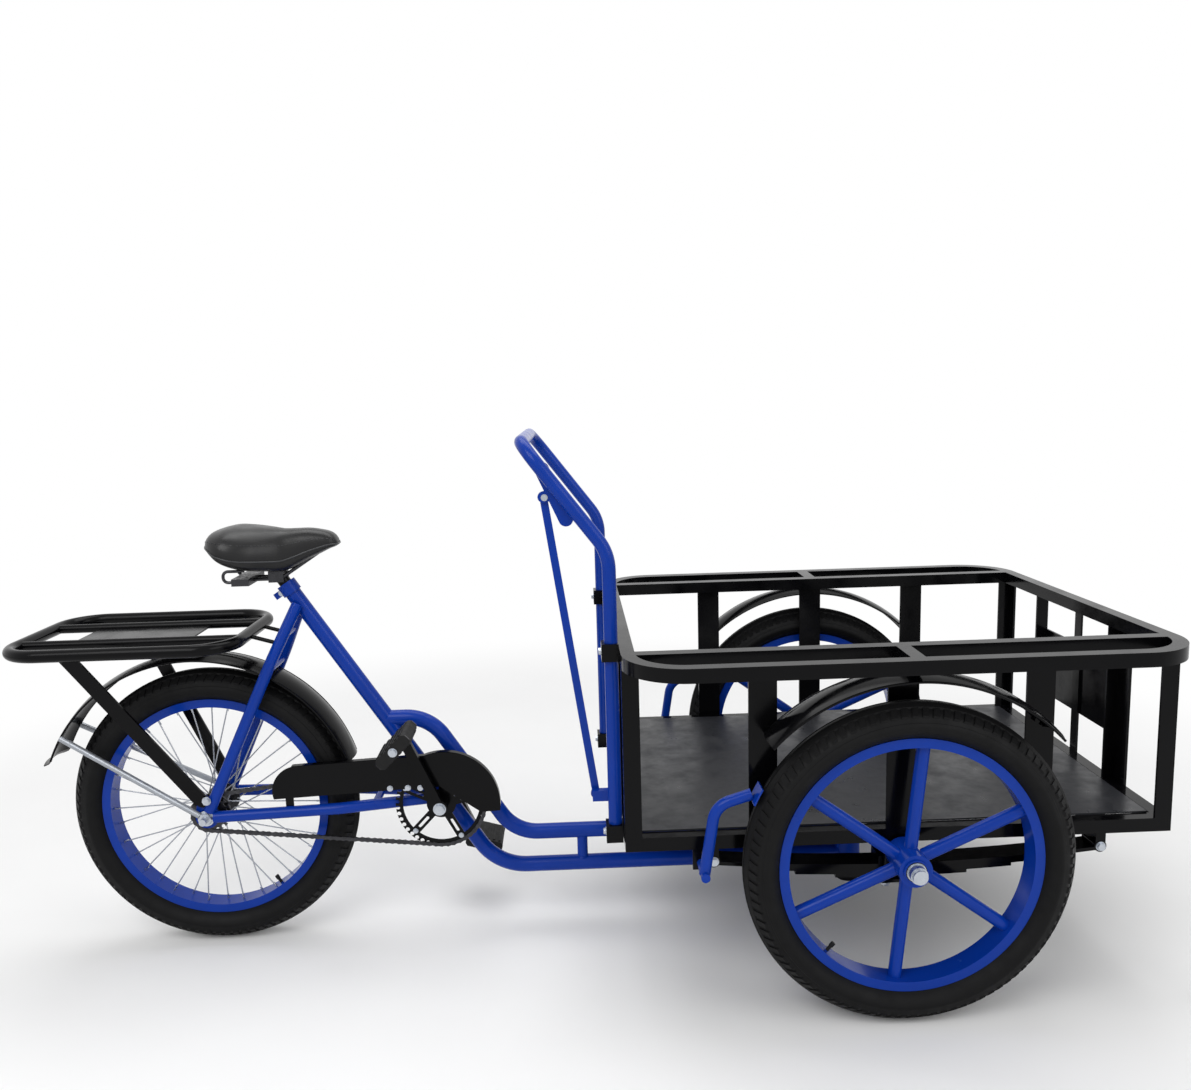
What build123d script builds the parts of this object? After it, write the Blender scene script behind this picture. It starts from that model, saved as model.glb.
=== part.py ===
"""Cargo tricycle: a pedalled rear half and a box carriage on two wheels that swings to steer.

Millimetres. +X is forward, +Y is to the rider's left, +Z is up.
The origin lies on the ground, midway between the foremost and rearmost points.
"""

import os
from math import cos, pi, radians, sin, sqrt, tan

from build123d import *

# ================================================================ driving dimensions
# Overall places: the box is measured from the front axle, the rack from the rear axle
wheelbase = 1316
track = 757
box_front_reach = 487
box_rear_reach = 489
rack_rear_reach = 344

# Wheels, the same size front and rear
tyre_diameter = 580
tyre_width = 75
tyre_depth = 60
tyre_bead_height = 2
tyre_wall_height = 24
tyre_shoulder_width = 62
tyre_shoulder_drop = 17
tyre_tread_width = 16
rim_width = 42
rim_depth = 17
rim_wall = 3

# Rear wheel
rear_hub_width = 112
rear_hub_barrel_diameter = 40
rear_hub_end_diameter = 28
rear_flange_diameter = 66
rear_flange_offset = 30
rear_flange_thickness = 4
freewheel_diameter = 40
rear_axle_diameter = 14
rear_axle_length = 196
rear_nut_diameter = 24
rear_nut_width = 10
wire_spoke_diameter = 2.6
wire_spoke_count = 36
wire_spoke_lead = 31.5
wire_spoke_rim_offset = 6
wire_spoke_flange_edge = 3.9
wire_spoke_flange_lap = 1.6

# Front wheels
tube_spoke_diameter = 23
tube_spoke_count = 6
tube_spoke_phase = 24
front_hub_diameter = 58
front_hub_width = 74
spindle_diameter = 25
spindle_collar_diameter = 33
spindle_collar_width = 7
spindle_nut_diameter = 30
spindle_nut_width = 16
spindle_end = 8

# Frame tubes
frame_tube = 32
stay_tube = 23
bridge_tube = 16
seat_tube_angle = 57.1
seat_tube_length = 545
seat_collar_diameter = 39
seat_collar_height = 24
seat_lug_height = 13
seat_lug_length = 9
seat_lug_width = 12
chain_stay_reach = 467
chain_stay_head_y = 17
stay_foot_reach = 14
stay_tyre_gap = 5
bracket_rise = 3
lower_tube_rise = 46
lower_tube_bend = 115
upper_tube_drop = 43
upper_tube_bend = 90
brace_rise = 168
brace_run = 86
strut_diameter = 22
strut_reach = 564
stay_head_drop = 40
stay_bend = 120
upper_bridge_drop = 100
front_bridge_reach = 331
dropout_thickness = 8
dropout_diameter = 46
stay_eye_thickness = 4

# Steering pivot
sleeve_diameter = 52
sleeve_length = 161
kingpin_diameter = 32
kingpin_cap_height = 10
kingpin_shoulder_height = 29
kingpin_shoulder_diameter = 46

# Bottom bracket, cranks and pedals
bracket_shell_diameter = 42
bracket_shell_width = 72
crank_spindle_diameter = 17
crank_boss_diameter = 26
chain_line = 50
chainring_teeth = 44
sprocket_teeth = 18
chain_pitch = 12.7
tooth_plate = 2.2
tooth_height = 3.6
roller_diameter = 8.5
chain_plate = 1.3
chain_gap = 3.4
chain_height = 9
chain_rollers = 7
chainring_band = 11
spider_arms = 5
spider_phase = 10
spider_arm_width = 17
spider_hub_diameter = 60
spider_slot_width = 6
spider_slot_length = 30
crank_length = 170
crank_angle = 114
crank_thickness = 13
crank_width = 20
crank_root_diameter = 32
crank_eye_diameter = 25
crank_plane = 74
pedal_axle_diameter = 12
pedal_length = 90
pedal_width = 80
pedal_height = 24
pedal_edge = 5
pedal_inset = 4
pedal_tilt = {"right": 45, "left": -16}

# Chain guard
guard_sheet = 1.6
guard_side_gap = 5
guard_tail = 341
guard_head_gap = 12
guard_head_rise = 3
guard_head_reach = 30
guard_tail_drop = 9
guard_tail_slope = 45
guard_tail_round = 12
guard_tail_bulge = 10
guard_tail_foot = 6
guard_nose_gap = 27
guard_nose_angle = 50
guard_tip_gap = 31
guard_tip_angle = -8
guard_foot = 25
guard_foot_rise = 14
guard_notch_reach = 80
guard_notch_drop = 18
guard_lip = 12
guard_strap_width = 20
guard_strap_thickness = 5
guard_bracket_reach = 163
guard_bracket_width = 16
guard_bracket_height = 30
guard_bracket_sheet = 2.4

# Saddle and its post
seat_post_diameter = 25.4
seat_post_show = 24
seat_post_seat = 70
saddle_length = 254
saddle_rear_overhang = 129
saddle_rise = 100
saddle_round = 0.42
saddle_clamp_width = 40
saddle_clamp_length = 30
saddle_clamp_height = 22
saddle_wire = 7
saddle_wire_spread = 32
saddle_wire_reach = 215
saddle_wire_drop = 58
saddle_bar_width = 104
saddle_bar_length = 34
saddle_bar_height = 14
saddle_spring_wire = 6
saddle_spring_spread = 90
saddle_spring_back = 34
saddle_spring_ahead = 8
saddle_spring_rise = 22
saddle_spring_bend = 10

# Rear rack
rack_front_reach = 111
rack_rise = 53
rack_width = 346
rack_tube = 24
rack_bar = 18
rack_bar_spread = 144
rack_corner = 76
rack_plate_rear_reach = 237
rack_plate_front_reach = 8
rack_plate_sheet = 3
rack_spacer_reach = 59
rack_spacer_diameter = 16
rack_rod = 8
rack_rod_share = 0.3
rack_stay_width = 28
rack_stay_sheet = 5
rack_stay_reach = 202
rack_stay_set_back = 6
rack_stay_rise = 34
rack_stay_eye = 22

# Fenders
fender_sheet = 2
fender_crown = 8
rear_fender_width = 80
rear_fender_set_back = 21
rear_fender_gap = 34
rear_fender_front = 17
rear_fender_tip = 158
fender_stay_diameter = 12
fender_stay_eye = 26
fender_stay_angle = 148
front_fender_width = 78
front_fender_gap = 51
front_fender_start = 42
front_fender_finish = 137
fender_stud_diameter = 10
fender_stud_lap = 4
fender_stud_angles = (45, 90, 135)

# Front axle and springs
beam_size = 30
beam_end_gap = 8
spring_spread = 600
spring_width = 45
spring_pad_length = 70
leaf_thickness = 6
leaf_count = 4
leaf_step = 0.22
leaf_lap = 0.5
spring_rear_reach = 331
spring_front_reach = 368
spring_eye_drop = 30
spring_drop = 17
spring_eye_diameter = 22
spring_hanger = 18

# Cargo box
beam_headroom = 2
box_height = 357
rail = 25
corner_post = 30
side_post = 50
end_post = 45
post_sheet = 5
side_post_count = 3
ring_half_width = 434
ring_corner = 110
floor_sheet = 3
end_post_spread = 290
panel_rise = 113
panel_height = 145
panel_sheet = 4

# Handlebar hoop and its clamps
handle_tube = 25
handle_spread = 504
handle_bend_rise = 166
handle_bend_radius = 90
handle_corner_radius = 55
handle_rise = 376
handle_lean = 53
handle_foot_drop = 10
handle_gap = 1
clamp_width = 36
clamp_depth = 31
clamp_height = 32
clamp_overhang = 2
lug_rise = 79
lug_height = 20
lug_reach = 28
lug_thickness = 8

# Brakes
lever_width = 26
lever_length = 98
lever_angle = 66
lever_pin_diameter = 9
lever_pin_rise = 150
lever_pin_end = 3
rod_width = 14
rod_thickness = 5
rod_eye = 20
rod_top_set_back = 1
rod_top_drop = 49
rod_foot_inset = 7
brake_shaft_gap = 65
brake_shaft_drop = 27
brake_shaft_diameter = 16
brake_shaft_end = 12
brake_arm_tube = 20
brake_arm_inset = 4
brake_elbow_gap = 64
brake_elbow_angle = 161.2
brake_elbow_bend = 40
hanger_width = 30
hanger_thickness = 8
hanger_inset = 3
hanger_foot = 12
spoon_angle = 153
spoon_arc = 6
spoon_width = 38
spoon_sheet = 3
spoon_seat = 6
spoon_seat_angle = 1

# Clearances
running_gap = 0.05
side_gap = 0.5
pivot_gap = 1
moving_gap = 6
tube_gap = 4
touch_gap = 0.3

# ================================================================ derived places
front_x = (wheelbase + rack_rear_reach - box_front_reach) / 2
rear_x = front_x - wheelbase
tyre_r = tyre_diameter / 2
rim_r = tyre_r - tyre_depth
rear_fender_radius = tyre_r + rear_fender_gap
front_fender_radius = tyre_r + front_fender_gap
axle_z = tyre_r
wheel_y = track / 2
bracket_x = rear_x + chain_stay_reach
bracket_z = axle_z + bracket_rise
bracket_point = Vector(bracket_x, 0, bracket_z)
rear_point = Vector(rear_x, 0, axle_z)
front_point = Vector(front_x, 0, axle_z)
slope = tan(radians(seat_tube_angle))
seat_dir = Vector(-cos(radians(seat_tube_angle)), 0, sin(radians(seat_tube_angle)))
seat_back = Vector(-seat_dir.Z, 0, seat_dir.X)
seat_tube_top = bracket_point + seat_dir * seat_tube_length
across = Vector(0, 1, 0)


def ahead(reach):
    """X of a point that lies a given distance ahead of the front axle."""
    return front_x + reach


def behind(reach):
    """X of a point that lies a given distance behind the rear axle."""
    return rear_x - reach


def along_seat_tube(height):
    """Point of the seat tube's axis at a given height."""
    return bracket_point + seat_dir * ((height - bracket_z) / seat_dir.Z)


def on_circle(centre, radius, angle):
    """Point at a radius and an angle in degrees about a wheel's centre, seen from the right."""
    return centre + Vector(cos(radians(angle)), 0, sin(radians(angle))) * radius


# ================================================================ shapes used many times
def round_bar(start, end, diameter):
    """A straight round bar from one point to another."""
    with BuildPart() as bar:
        with BuildSketch(Plane(origin=start, z_dir=end - start)):
            Circle(diameter / 2)
        extrude(amount=(end - start).length)
    return bar.part


def flat_bar(start, end, width, thickness):
    """A straight flat bar that stands on edge, its width in the plane of its run and the vertical."""
    run = (end - start).normalized()
    broad = (across - run * across.dot(run)).normalized().cross(run)
    with BuildPart() as bar:
        with BuildSketch(Plane(origin=start, x_dir=broad, z_dir=run)):
            Rectangle(width, thickness)
        extrude(amount=(end - start).length)
    return bar.part


def bent_bar(points, bends, diameter):
    """A round bar that follows a line with rounded corners."""
    with BuildPart() as bar:
        with BuildLine() as path:
            FilletPolyline(*points, radius=bends)
        with BuildSketch(Plane(origin=path.line @ 0, z_dir=path.line % 0)):
            Circle(diameter / 2)
        sweep(path=path.line)
    return bar.part


def block(low, high):
    """A plain block between two opposite corners."""
    with BuildPart() as body:
        with Locations(tuple((a + b) / 2 for a, b in zip(low, high))):
            Box(*[b - a for a, b in zip(low, high)])
    return body.part


def link(start, end, start_width, end_width, thickness):
    """A flat link with round ends that stands in a plane along the tricycle."""
    run = end - start
    with BuildPart() as plate:
        with BuildSketch(Plane(origin=start, x_dir=(1, 0, 0), z_dir=across)):
            Circle(start_width / 2)
            with Locations((run.X, -run.Z)):
                Circle(end_width / 2)
            make_hull()
        extrude(amount=thickness / 2, both=True)
    return plate.part


def disc(centre, diameter, width):
    """A round disc centred on a point, its axis across the tricycle."""
    with BuildPart() as body:
        with BuildSketch(Plane(origin=centre, z_dir=across)):
            Circle(diameter / 2)
        extrude(amount=width / 2, both=True)
    return body.part


def pillar(x, low, high, diameter):
    """An upright round bar on the centre plane."""
    return round_bar(Vector(x, 0, low), Vector(x, 0, high), diameter)


def turned(centre, corners):
    """A wheel part: a half section of (offset along the axle, radius) turned about the axle."""
    with BuildPart() as body:
        with BuildSketch(Plane(origin=centre, x_dir=across, z_dir=(1, 0, 0))):
            Polygon(*corners, align=None)
        revolve(axis=Axis(centre, across))
    return body.part


os.makedirs("parts", exist_ok=True)

# ================================================================ frame tubes
sleeve_top = axle_z - beam_size / 2 - kingpin_shoulder_height - pivot_gap
sleeve_bottom = sleeve_top - sleeve_length
lower_tube_z = sleeve_bottom + lower_tube_rise
upper_tube_z = sleeve_top - upper_tube_drop
brace_z = bracket_z + brace_rise
stay_head_z = seat_tube_top.Z - stay_head_drop

sleeve_body = pillar(front_x, sleeve_bottom, sleeve_top, sleeve_diameter)
kingpin_bore = pillar(front_x, sleeve_bottom, sleeve_top, kingpin_diameter + 2 * running_gap)
shell_body = disc(bracket_point, bracket_shell_diameter, bracket_shell_width)
spindle_bore = disc(bracket_point, crank_spindle_diameter + 2 * running_gap, bracket_shell_width)
seat_tube_body = round_bar(bracket_point, seat_tube_top, frame_tube)
seat_post_bore = round_bar(
    seat_tube_top - seat_dir * seat_post_seat,
    seat_tube_top + seat_dir * seat_post_show,
    seat_post_diameter + 2 * running_gap,
)

# The collar at the tube's top closes on the seat post with a bolt through its rear lug
with BuildPart() as seat_tube:
    add(seat_tube_body)
    with BuildSketch(Plane(origin=seat_tube_top, x_dir=seat_back, z_dir=seat_dir)):
        Circle(seat_collar_diameter / 2)
    extrude(amount=-seat_collar_height)
    lug_top = seat_tube_top - seat_dir * (seat_collar_height - seat_lug_height) / 2
    with BuildSketch(Plane(origin=lug_top, x_dir=seat_back, z_dir=seat_dir)):
        with Locations(((seat_collar_diameter + seat_lug_length) / 2, 0)):
            Rectangle(seat_lug_length + seat_collar_diameter / 4, seat_lug_width)
    extrude(amount=-seat_lug_height)
    add([seat_post_bore, shell_body], mode=Mode.SUBTRACT)
seat_tube.part.label = "seat_tube"
export_step(seat_tube.part, "parts/seat_tube.step")

with BuildPart() as lower_tube:
    tube_foot = Vector(bracket_x + (bracket_z - lower_tube_z) / slope, 0, lower_tube_z)
    tube_head = Vector(front_x, 0, lower_tube_z)
    add(bent_bar([bracket_point, tube_foot, tube_head], [lower_tube_bend], frame_tube))
    add([sleeve_body, shell_body], mode=Mode.SUBTRACT)
lower_tube.part.label = "lower_tube"
export_step(lower_tube.part, "parts/lower_tube.step")

# The upper tube leaves the seat tube level, dips beside it and runs to the steering pivot
with BuildPart() as upper_tube:
    brace_start = along_seat_tube(brace_z)
    brace_corner = brace_start + Vector(brace_run, 0, 0)
    brace_foot = Vector(brace_corner.X + (brace_z - upper_tube_z) / slope, 0, upper_tube_z)
    brace_line = [brace_start, brace_corner, brace_foot, Vector(front_x, 0, upper_tube_z)]
    add(bent_bar(brace_line, [upper_tube_bend] * 2, frame_tube))
    add(pillar(ahead(-strut_reach), lower_tube_z, upper_tube_z, strut_diameter))
    add([seat_tube.part, lower_tube.part, sleeve_body], mode=Mode.SUBTRACT)
upper_tube.part.label = "upper_tube"
export_step(upper_tube.part, "parts/upper_tube.step")

with BuildPart() as pivot_sleeve:
    add(sleeve_body)
    add(kingpin_bore, mode=Mode.SUBTRACT)
pivot_sleeve.part.label = "pivot_sleeve"
export_step(pivot_sleeve.part, "parts/pivot_sleeve.step")

with BuildPart() as bottom_bracket:
    add(shell_body)
    add(spindle_bore, mode=Mode.SUBTRACT)
bottom_bracket.part.label = "bottom_bracket"
export_step(bottom_bracket.part, "parts/bottom_bracket.step")

# Seat stays and chain stays pass the tyre on both sides and end in flat dropouts
stay_y = tyre_width / 2 + stay_tube / 2 + stay_tyre_gap
dropout_y = (rear_hub_width + dropout_thickness) / 2 + moving_gap
stay_foot_y = dropout_y + dropout_thickness / 2
fender_crown_point = rear_point - Vector(rear_fender_set_back, 0, 0)
stay_bolt_point = rear_point + Vector(-rack_stay_set_back, 0, rack_stay_rise)
dropout = link(
    rear_point + across * dropout_y,
    stay_bolt_point + across * dropout_y,
    dropout_diameter,
    rack_stay_eye,
    dropout_thickness,
)
axle_body = disc(rear_point, rear_axle_diameter, rear_axle_length)

seat_stay_head = along_seat_tube(stay_head_z) + across * (frame_tube / 2 + tube_gap)
seat_stay_dir = (along_seat_tube(stay_head_z) - rear_point).normalized()
seat_stay_knee = rear_point + seat_stay_dir * (rear_fender_radius + stay_tube) + across * stay_y

# The lower bridge rests on the fender's crown, whose centre lies behind the axle
bridge_r = rear_fender_radius + bridge_tube / 2 + touch_gap
bridge_reach = sqrt(bridge_r**2 - (rear_fender_set_back * seat_stay_dir.Z) ** 2)
lower_bridge_point = rear_point + seat_stay_dir * (bridge_reach - rear_fender_set_back * seat_stay_dir.X)
upper_bridge_reach = (seat_tube_top.Z - upper_bridge_drop - axle_z) / seat_stay_dir.Z
upper_bridge_point = rear_point + seat_stay_dir * upper_bridge_reach

with BuildPart() as seat_stays:
    seat_stay_foot = rear_point + seat_stay_dir * stay_foot_reach + across * stay_foot_y
    add(bent_bar([seat_stay_foot, seat_stay_knee, seat_stay_head], [stay_bend], stay_tube))
    mirror(about=Plane.XZ)
    add(disc(lower_bridge_point, bridge_tube, 2 * stay_y))
    add(disc(upper_bridge_point, bridge_tube, stay_y + frame_tube / 2 + tube_gap))
    add(dropout, mode=Mode.SUBTRACT)
    add(dropout.mirror(Plane.XZ), mode=Mode.SUBTRACT)
    add([seat_tube_body, axle_body], mode=Mode.SUBTRACT)
seat_stays.part.label = "seat_stays"
export_step(seat_stays.part, "parts/seat_stays.step")

with BuildPart() as chain_stays:
    chain_stay_foot = rear_point + Vector(stay_foot_reach, stay_foot_y, 0)
    chain_stay_knee = rear_point + Vector(tyre_r - 2 * stay_foot_reach, stay_y, bracket_rise / 2)
    chain_stay_head = bracket_point + Vector(-stay_foot_reach / 2, chain_stay_head_y, 0)
    add(bent_bar([chain_stay_foot, chain_stay_knee, chain_stay_head], [stay_bend], stay_tube))
    add(dropout)
    mirror(about=Plane.XZ)
    front_bridge_point = rear_point + Vector(front_bridge_reach, 0, bracket_rise / 2)
    add(disc(front_bridge_point, bridge_tube, 2 * stay_y - stay_tube))
    add([shell_body, seat_stays.part, axle_body], mode=Mode.SUBTRACT)
chain_stays.part.label = "chain_stays"
export_step(chain_stays.part, "parts/chain_stays.step")

# ================================================================ saddle
post_top = seat_tube_top + seat_dir * seat_post_show
saddle_rear_x = post_top.X - saddle_rear_overhang
saddle_top = post_top.Z + saddle_rise

with BuildPart() as seat_post:
    add(round_bar(seat_tube_top - seat_dir * (seat_post_seat - tube_gap), post_top, seat_post_diameter))
seat_post.part.label = "seat_post"
export_step(seat_post.part, "parts/seat_post.step")

# Sections along the saddle: distance from the rear, drop of the top, depth and width
saddle_sections = [
    (2, 24, 14, 64),
    (16, 7, 44, 142),
    (52, 0, 78, 194),
    (97, 5, 86, 168),
    (147, 10, 83, 98),
    (197, 10, 61, 70),
    (237, 18, 34, 54),
    (saddle_length, 36, 10, 30),
]
with BuildPart() as saddle:
    for distance, drop, depth, width in saddle_sections:
        middle = Vector(saddle_rear_x + distance, 0, saddle_top - drop - depth / 2)
        with BuildSketch(Plane(origin=middle, x_dir=across, z_dir=(1, 0, 0))):
            RectangleRounded(width, depth, depth * saddle_round)
    loft()
saddle.part.label = "saddle"
export_step(saddle.part, "parts/saddle.step")

# A clamp holds the saddle's wires on the post, and a bar joins their rear ends
saddle_depth = max(drop + depth for distance, drop, depth, width in saddle_sections)
saddle_floor = saddle_top - saddle_depth - touch_gap
clamp_base = saddle_floor - saddle_clamp_height
bar_middle = saddle_rear_x + 2 * saddle_bar_length
wire_z = clamp_base + saddle_wire
wire_y = saddle_wire_spread / 2
wire_knee = Vector(post_top.X + saddle_clamp_length / 2, wire_y, wire_z)
wire_tip = Vector(saddle_rear_x + saddle_wire_reach, wire_y - saddle_wire, saddle_top - saddle_wire_drop)
with BuildPart() as saddle_frame:
    add(round_bar(Vector(bar_middle, wire_y, wire_z), wire_knee, saddle_wire))
    add(round_bar(wire_knee - Vector(saddle_wire, 0, 0), wire_tip, saddle_wire))
    mirror(about=Plane.XZ)
    with Locations((post_top.X, 0, (clamp_base + saddle_floor) / 2)):
        Box(saddle_clamp_length, saddle_clamp_width, saddle_floor - clamp_base)
    with Locations((bar_middle, 0, wire_z)):
        Box(saddle_bar_length, saddle_bar_width, saddle_bar_height)
    add([seat_post.part, seat_tube.part, saddle.part], mode=Mode.SUBTRACT)
saddle_frame.part.label = "saddle_frame"
export_step(saddle_frame.part, "parts/saddle_frame.step")

# Two wire springs curl back from the bar and press up against the saddle's underside
with BuildPart() as saddle_springs:
    spring_start = Vector(bar_middle, saddle_spring_spread / 2, wire_z)
    spring_back = spring_start - Vector(saddle_spring_back, 0, 0)
    spring_rise = Vector(0, 0, saddle_spring_rise)
    spring_end = spring_start + spring_rise + Vector(saddle_spring_ahead, 0, 0)
    spring_line = [spring_start, spring_back, spring_back + spring_rise, spring_end]
    add(bent_bar(spring_line, [saddle_spring_bend] * 2, saddle_spring_wire))
    mirror(about=Plane.XZ)
    add([saddle_frame.part, saddle.part], mode=Mode.SUBTRACT)
saddle_springs.part.label = "saddle_springs"
export_step(saddle_springs.part, "parts/saddle_springs.step")

# ================================================================ wheels
rim_floor_r = rim_r - rim_depth
tyre_seat_r = rim_floor_r + rim_wall + touch_gap
tyre_seat_half = rim_width / 2 - rim_wall - touch_gap


def tyre_at(centre):
    """A road tyre with bulging walls and a rounded crown, seated between the rim's flanges."""
    left = [
        (tyre_seat_half, tyre_seat_r),
        (tyre_seat_half, rim_r + tyre_bead_height),
        (tyre_width / 2, rim_r + tyre_wall_height),
        (tyre_shoulder_width / 2, tyre_r - tyre_shoulder_drop),
        (tyre_tread_width / 2, tyre_r),
    ]
    right = [(-offset, radius) for offset, radius in reversed(left)]
    return turned(centre, left + right)


def rim_at(centre):
    """A channel rim: a base with a flange along each edge."""
    half = rim_width / 2
    inner = half - rim_wall
    left = [
        (half, rim_floor_r),
        (half, rim_r),
        (inner, rim_r),
        (inner, rim_floor_r + rim_wall),
    ]
    right = [(-offset, radius) for offset, radius in reversed(left)]
    return turned(centre, left + right)


with BuildPart() as rear_tyre:
    add(tyre_at(rear_point))
rear_tyre.part.label = "rear_tyre"
export_step(rear_tyre.part, "parts/rear_tyre.step")

with BuildPart() as rear_rim:
    add(rim_at(rear_point))
rear_rim.part.label = "rear_rim"
export_step(rear_rim.part, "parts/rear_rim.step")

# The hub has two spoke flanges and, on the right, a seat for the sprocket
hub_half = rear_hub_width / 2
hub_bore = rear_axle_diameter / 2 + running_gap
barrel_r = rear_hub_barrel_diameter / 2
flange_r = rear_flange_diameter / 2
flange_in = rear_flange_offset - rear_flange_thickness / 2
flange_out = rear_flange_offset + rear_flange_thickness / 2
hub_section = [
    (-hub_half, hub_bore),
    (hub_half, hub_bore),
    (hub_half, rear_hub_end_diameter / 2),
    (flange_out, barrel_r),
    (flange_out, flange_r),
    (flange_in, flange_r),
    (flange_in, barrel_r),
    (-flange_in, barrel_r),
    (-flange_in, flange_r),
    (-flange_out, flange_r),
    (-flange_out, freewheel_diameter / 2),
    (-hub_half, freewheel_diameter / 2),
]
with BuildPart() as rear_hub:
    add(turned(rear_point, hub_section))
rear_hub.part.label = "rear_hub"
export_step(rear_hub.part, "parts/rear_hub.step")

# Wire spokes run from the hub's flanges to the rim in crossed pairs
with BuildPart() as rear_spokes:
    for index in range(wire_spoke_count):
        side = 1 if index % 2 else -1
        lead = wire_spoke_lead if index % 4 < 2 else -wire_spoke_lead
        at_rim = 360 * index / wire_spoke_count
        hub_end = on_circle(rear_point, flange_r - wire_spoke_flange_edge, at_rim + lead)
        rim_end = on_circle(rear_point, rim_floor_r - touch_gap, at_rim)
        hub_side = across * (side * (flange_in - wire_spoke_flange_lap))
        rim_side = across * (side * wire_spoke_rim_offset)
        add(round_bar(hub_end + hub_side, rim_end + rim_side, wire_spoke_diameter))
rear_spokes.part.label = "rear_spokes"
export_step(rear_spokes.part, "parts/rear_spokes.step")

# Each front wheel has thick tube spokes between its hub and its rim
for name, side in (("left", 1), ("right", -1)):
    centre = front_point + across * (side * wheel_y)
    with BuildPart() as front_wheel:
        add(rim_at(centre))
        for index in range(tube_spoke_count):
            turn = tube_spoke_phase + 360 * index / tube_spoke_count
            spoke_end = on_circle(centre, rim_floor_r + rim_wall / 2, turn)
            add(round_bar(centre, spoke_end, tube_spoke_diameter))
        add(disc(centre, front_hub_diameter, front_hub_width))
        add(disc(centre, spindle_diameter + 2 * running_gap, front_hub_width), mode=Mode.SUBTRACT)
    front_wheel.part.label = f"front_wheel_{name}"
    export_step(front_wheel.part, f"parts/front_wheel_{name}.step")

    with BuildPart() as front_tyre:
        add(tyre_at(centre))
    front_tyre.part.label = f"front_tyre_{name}"
    export_step(front_tyre.part, f"parts/front_tyre_{name}.step")

# The rear axle is held in the dropouts and takes a nut at each end, outside the stays' eyes
dropout_face = dropout_y + dropout_thickness / 2
nut_middle = dropout_face + stay_eye_thickness + rear_nut_width / 2
with BuildPart() as rear_axle:
    add(disc(rear_point + across * nut_middle, rear_nut_diameter, rear_nut_width))
    mirror(about=Plane.XZ)
    add(axle_body)
rear_axle.part.label = "rear_axle"
export_step(rear_axle.part, "parts/rear_axle.step")


# ================================================================ fenders, rack and their stays
def fender_at(centre, radius, width, start, finish):
    """A crowned mudguard: an arched strip carried round the wheel between two angles."""
    half = width / 2
    start_dir = on_circle(Vector(), 1, start)
    with BuildPart() as band:
        with BuildSketch(Plane(origin=centre, x_dir=across, z_dir=across.cross(start_dir))):
            with BuildLine():
                edge = radius - fender_crown
                outer = ThreePointArc((-half, edge), (0, radius), (half, edge))
                lip = Line(outer @ 1, (half, edge - fender_sheet))
                inner = ThreePointArc(lip @ 1, (0, radius - fender_sheet), (-half, edge - fender_sheet))
                Line(inner @ 1, outer @ 0)
            make_face()
        revolve(axis=Axis(centre, -across), revolution_arc=finish - start)
    return band.part


with BuildPart() as rear_fender:
    add(
        fender_at(
            fender_crown_point,
            rear_fender_radius,
            rear_fender_width,
            rear_fender_front,
            rear_fender_tip,
        )
    )
rear_fender.part.label = "rear_fender"
export_step(rear_fender.part, "parts/rear_fender.step")

# The rack is a tube hoop with two inner bars, a plate between them and a spacer on the fender
rack_z = axle_z + rear_fender_radius + rack_rise - rack_tube / 2
rack_side_y = (rack_width - rack_tube) / 2
rack_rear_x = behind(rack_rear_reach) + rack_tube / 2
rack_front_x = behind(-rack_front_reach) - rack_tube / 2
rack_bar_y = rack_bar_spread / 2
with BuildPart() as rear_rack:
    with BuildLine(Plane.XY.offset(rack_z)) as rack_line:
        FilletPolyline(
            (rack_front_x, -rack_side_y),
            (rack_front_x, rack_side_y),
            (rack_rear_x, rack_side_y),
            (rack_rear_x, -rack_side_y),
            radius=rack_corner,
            close=True,
        )
    with BuildSketch(Plane(origin=rack_line.line @ 0, z_dir=rack_line.line % 0)):
        Circle(rack_tube / 2)
    sweep(path=rack_line.line)
    for bar_y in (-rack_bar_y, rack_bar_y):
        add(round_bar(Vector(rack_rear_x, bar_y, rack_z), Vector(rack_front_x, bar_y, rack_z), rack_bar))
    add(
        block(
            (behind(rack_plate_rear_reach), -rack_bar_y, rack_z - rack_plate_sheet),
            (behind(rack_plate_front_reach), rack_bar_y, rack_z),
        )
    )
    add(pillar(behind(rack_spacer_reach), axle_z + tyre_r, rack_z - touch_gap, rack_spacer_diameter))
    rod_end = seat_stay_knee + (seat_stay_head - seat_stay_knee) * rack_rod_share
    for rod_side in (-1, 1):
        rod_top = Vector(rack_front_x, rod_side * rod_end.Y, rack_z)
        add(round_bar(rod_top, Vector(rod_end.X, rod_side * rod_end.Y, rod_end.Z), rack_rod))
    add(
        disc(fender_crown_point, 2 * (rear_fender_radius + touch_gap), rear_fender_width),
        mode=Mode.SUBTRACT,
    )
    add(seat_stays.part, mode=Mode.SUBTRACT)
rear_rack.part.label = "rear_rack"
export_step(rear_rack.part, "parts/rear_rack.step")

# Flat stays splay up from bolts on the dropouts to the rack's sides
with BuildPart() as rack_stays:
    stay_side = across * (dropout_face + rack_stay_sheet / 2)
    stay_foot = stay_bolt_point + stay_side
    stay_head = Vector(behind(rack_stay_reach), rack_side_y, rack_z)
    add(disc(stay_foot, rack_stay_eye, rack_stay_sheet))
    add(flat_bar(stay_foot, stay_head, rack_stay_width, rack_stay_sheet))
    mirror(about=Plane.XZ)
    add([rear_rack.part, seat_stays.part, chain_stays.part], mode=Mode.SUBTRACT)
rack_stays.part.label = "rack_stays"
export_step(rack_stays.part, "parts/rack_stays.step")

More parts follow.
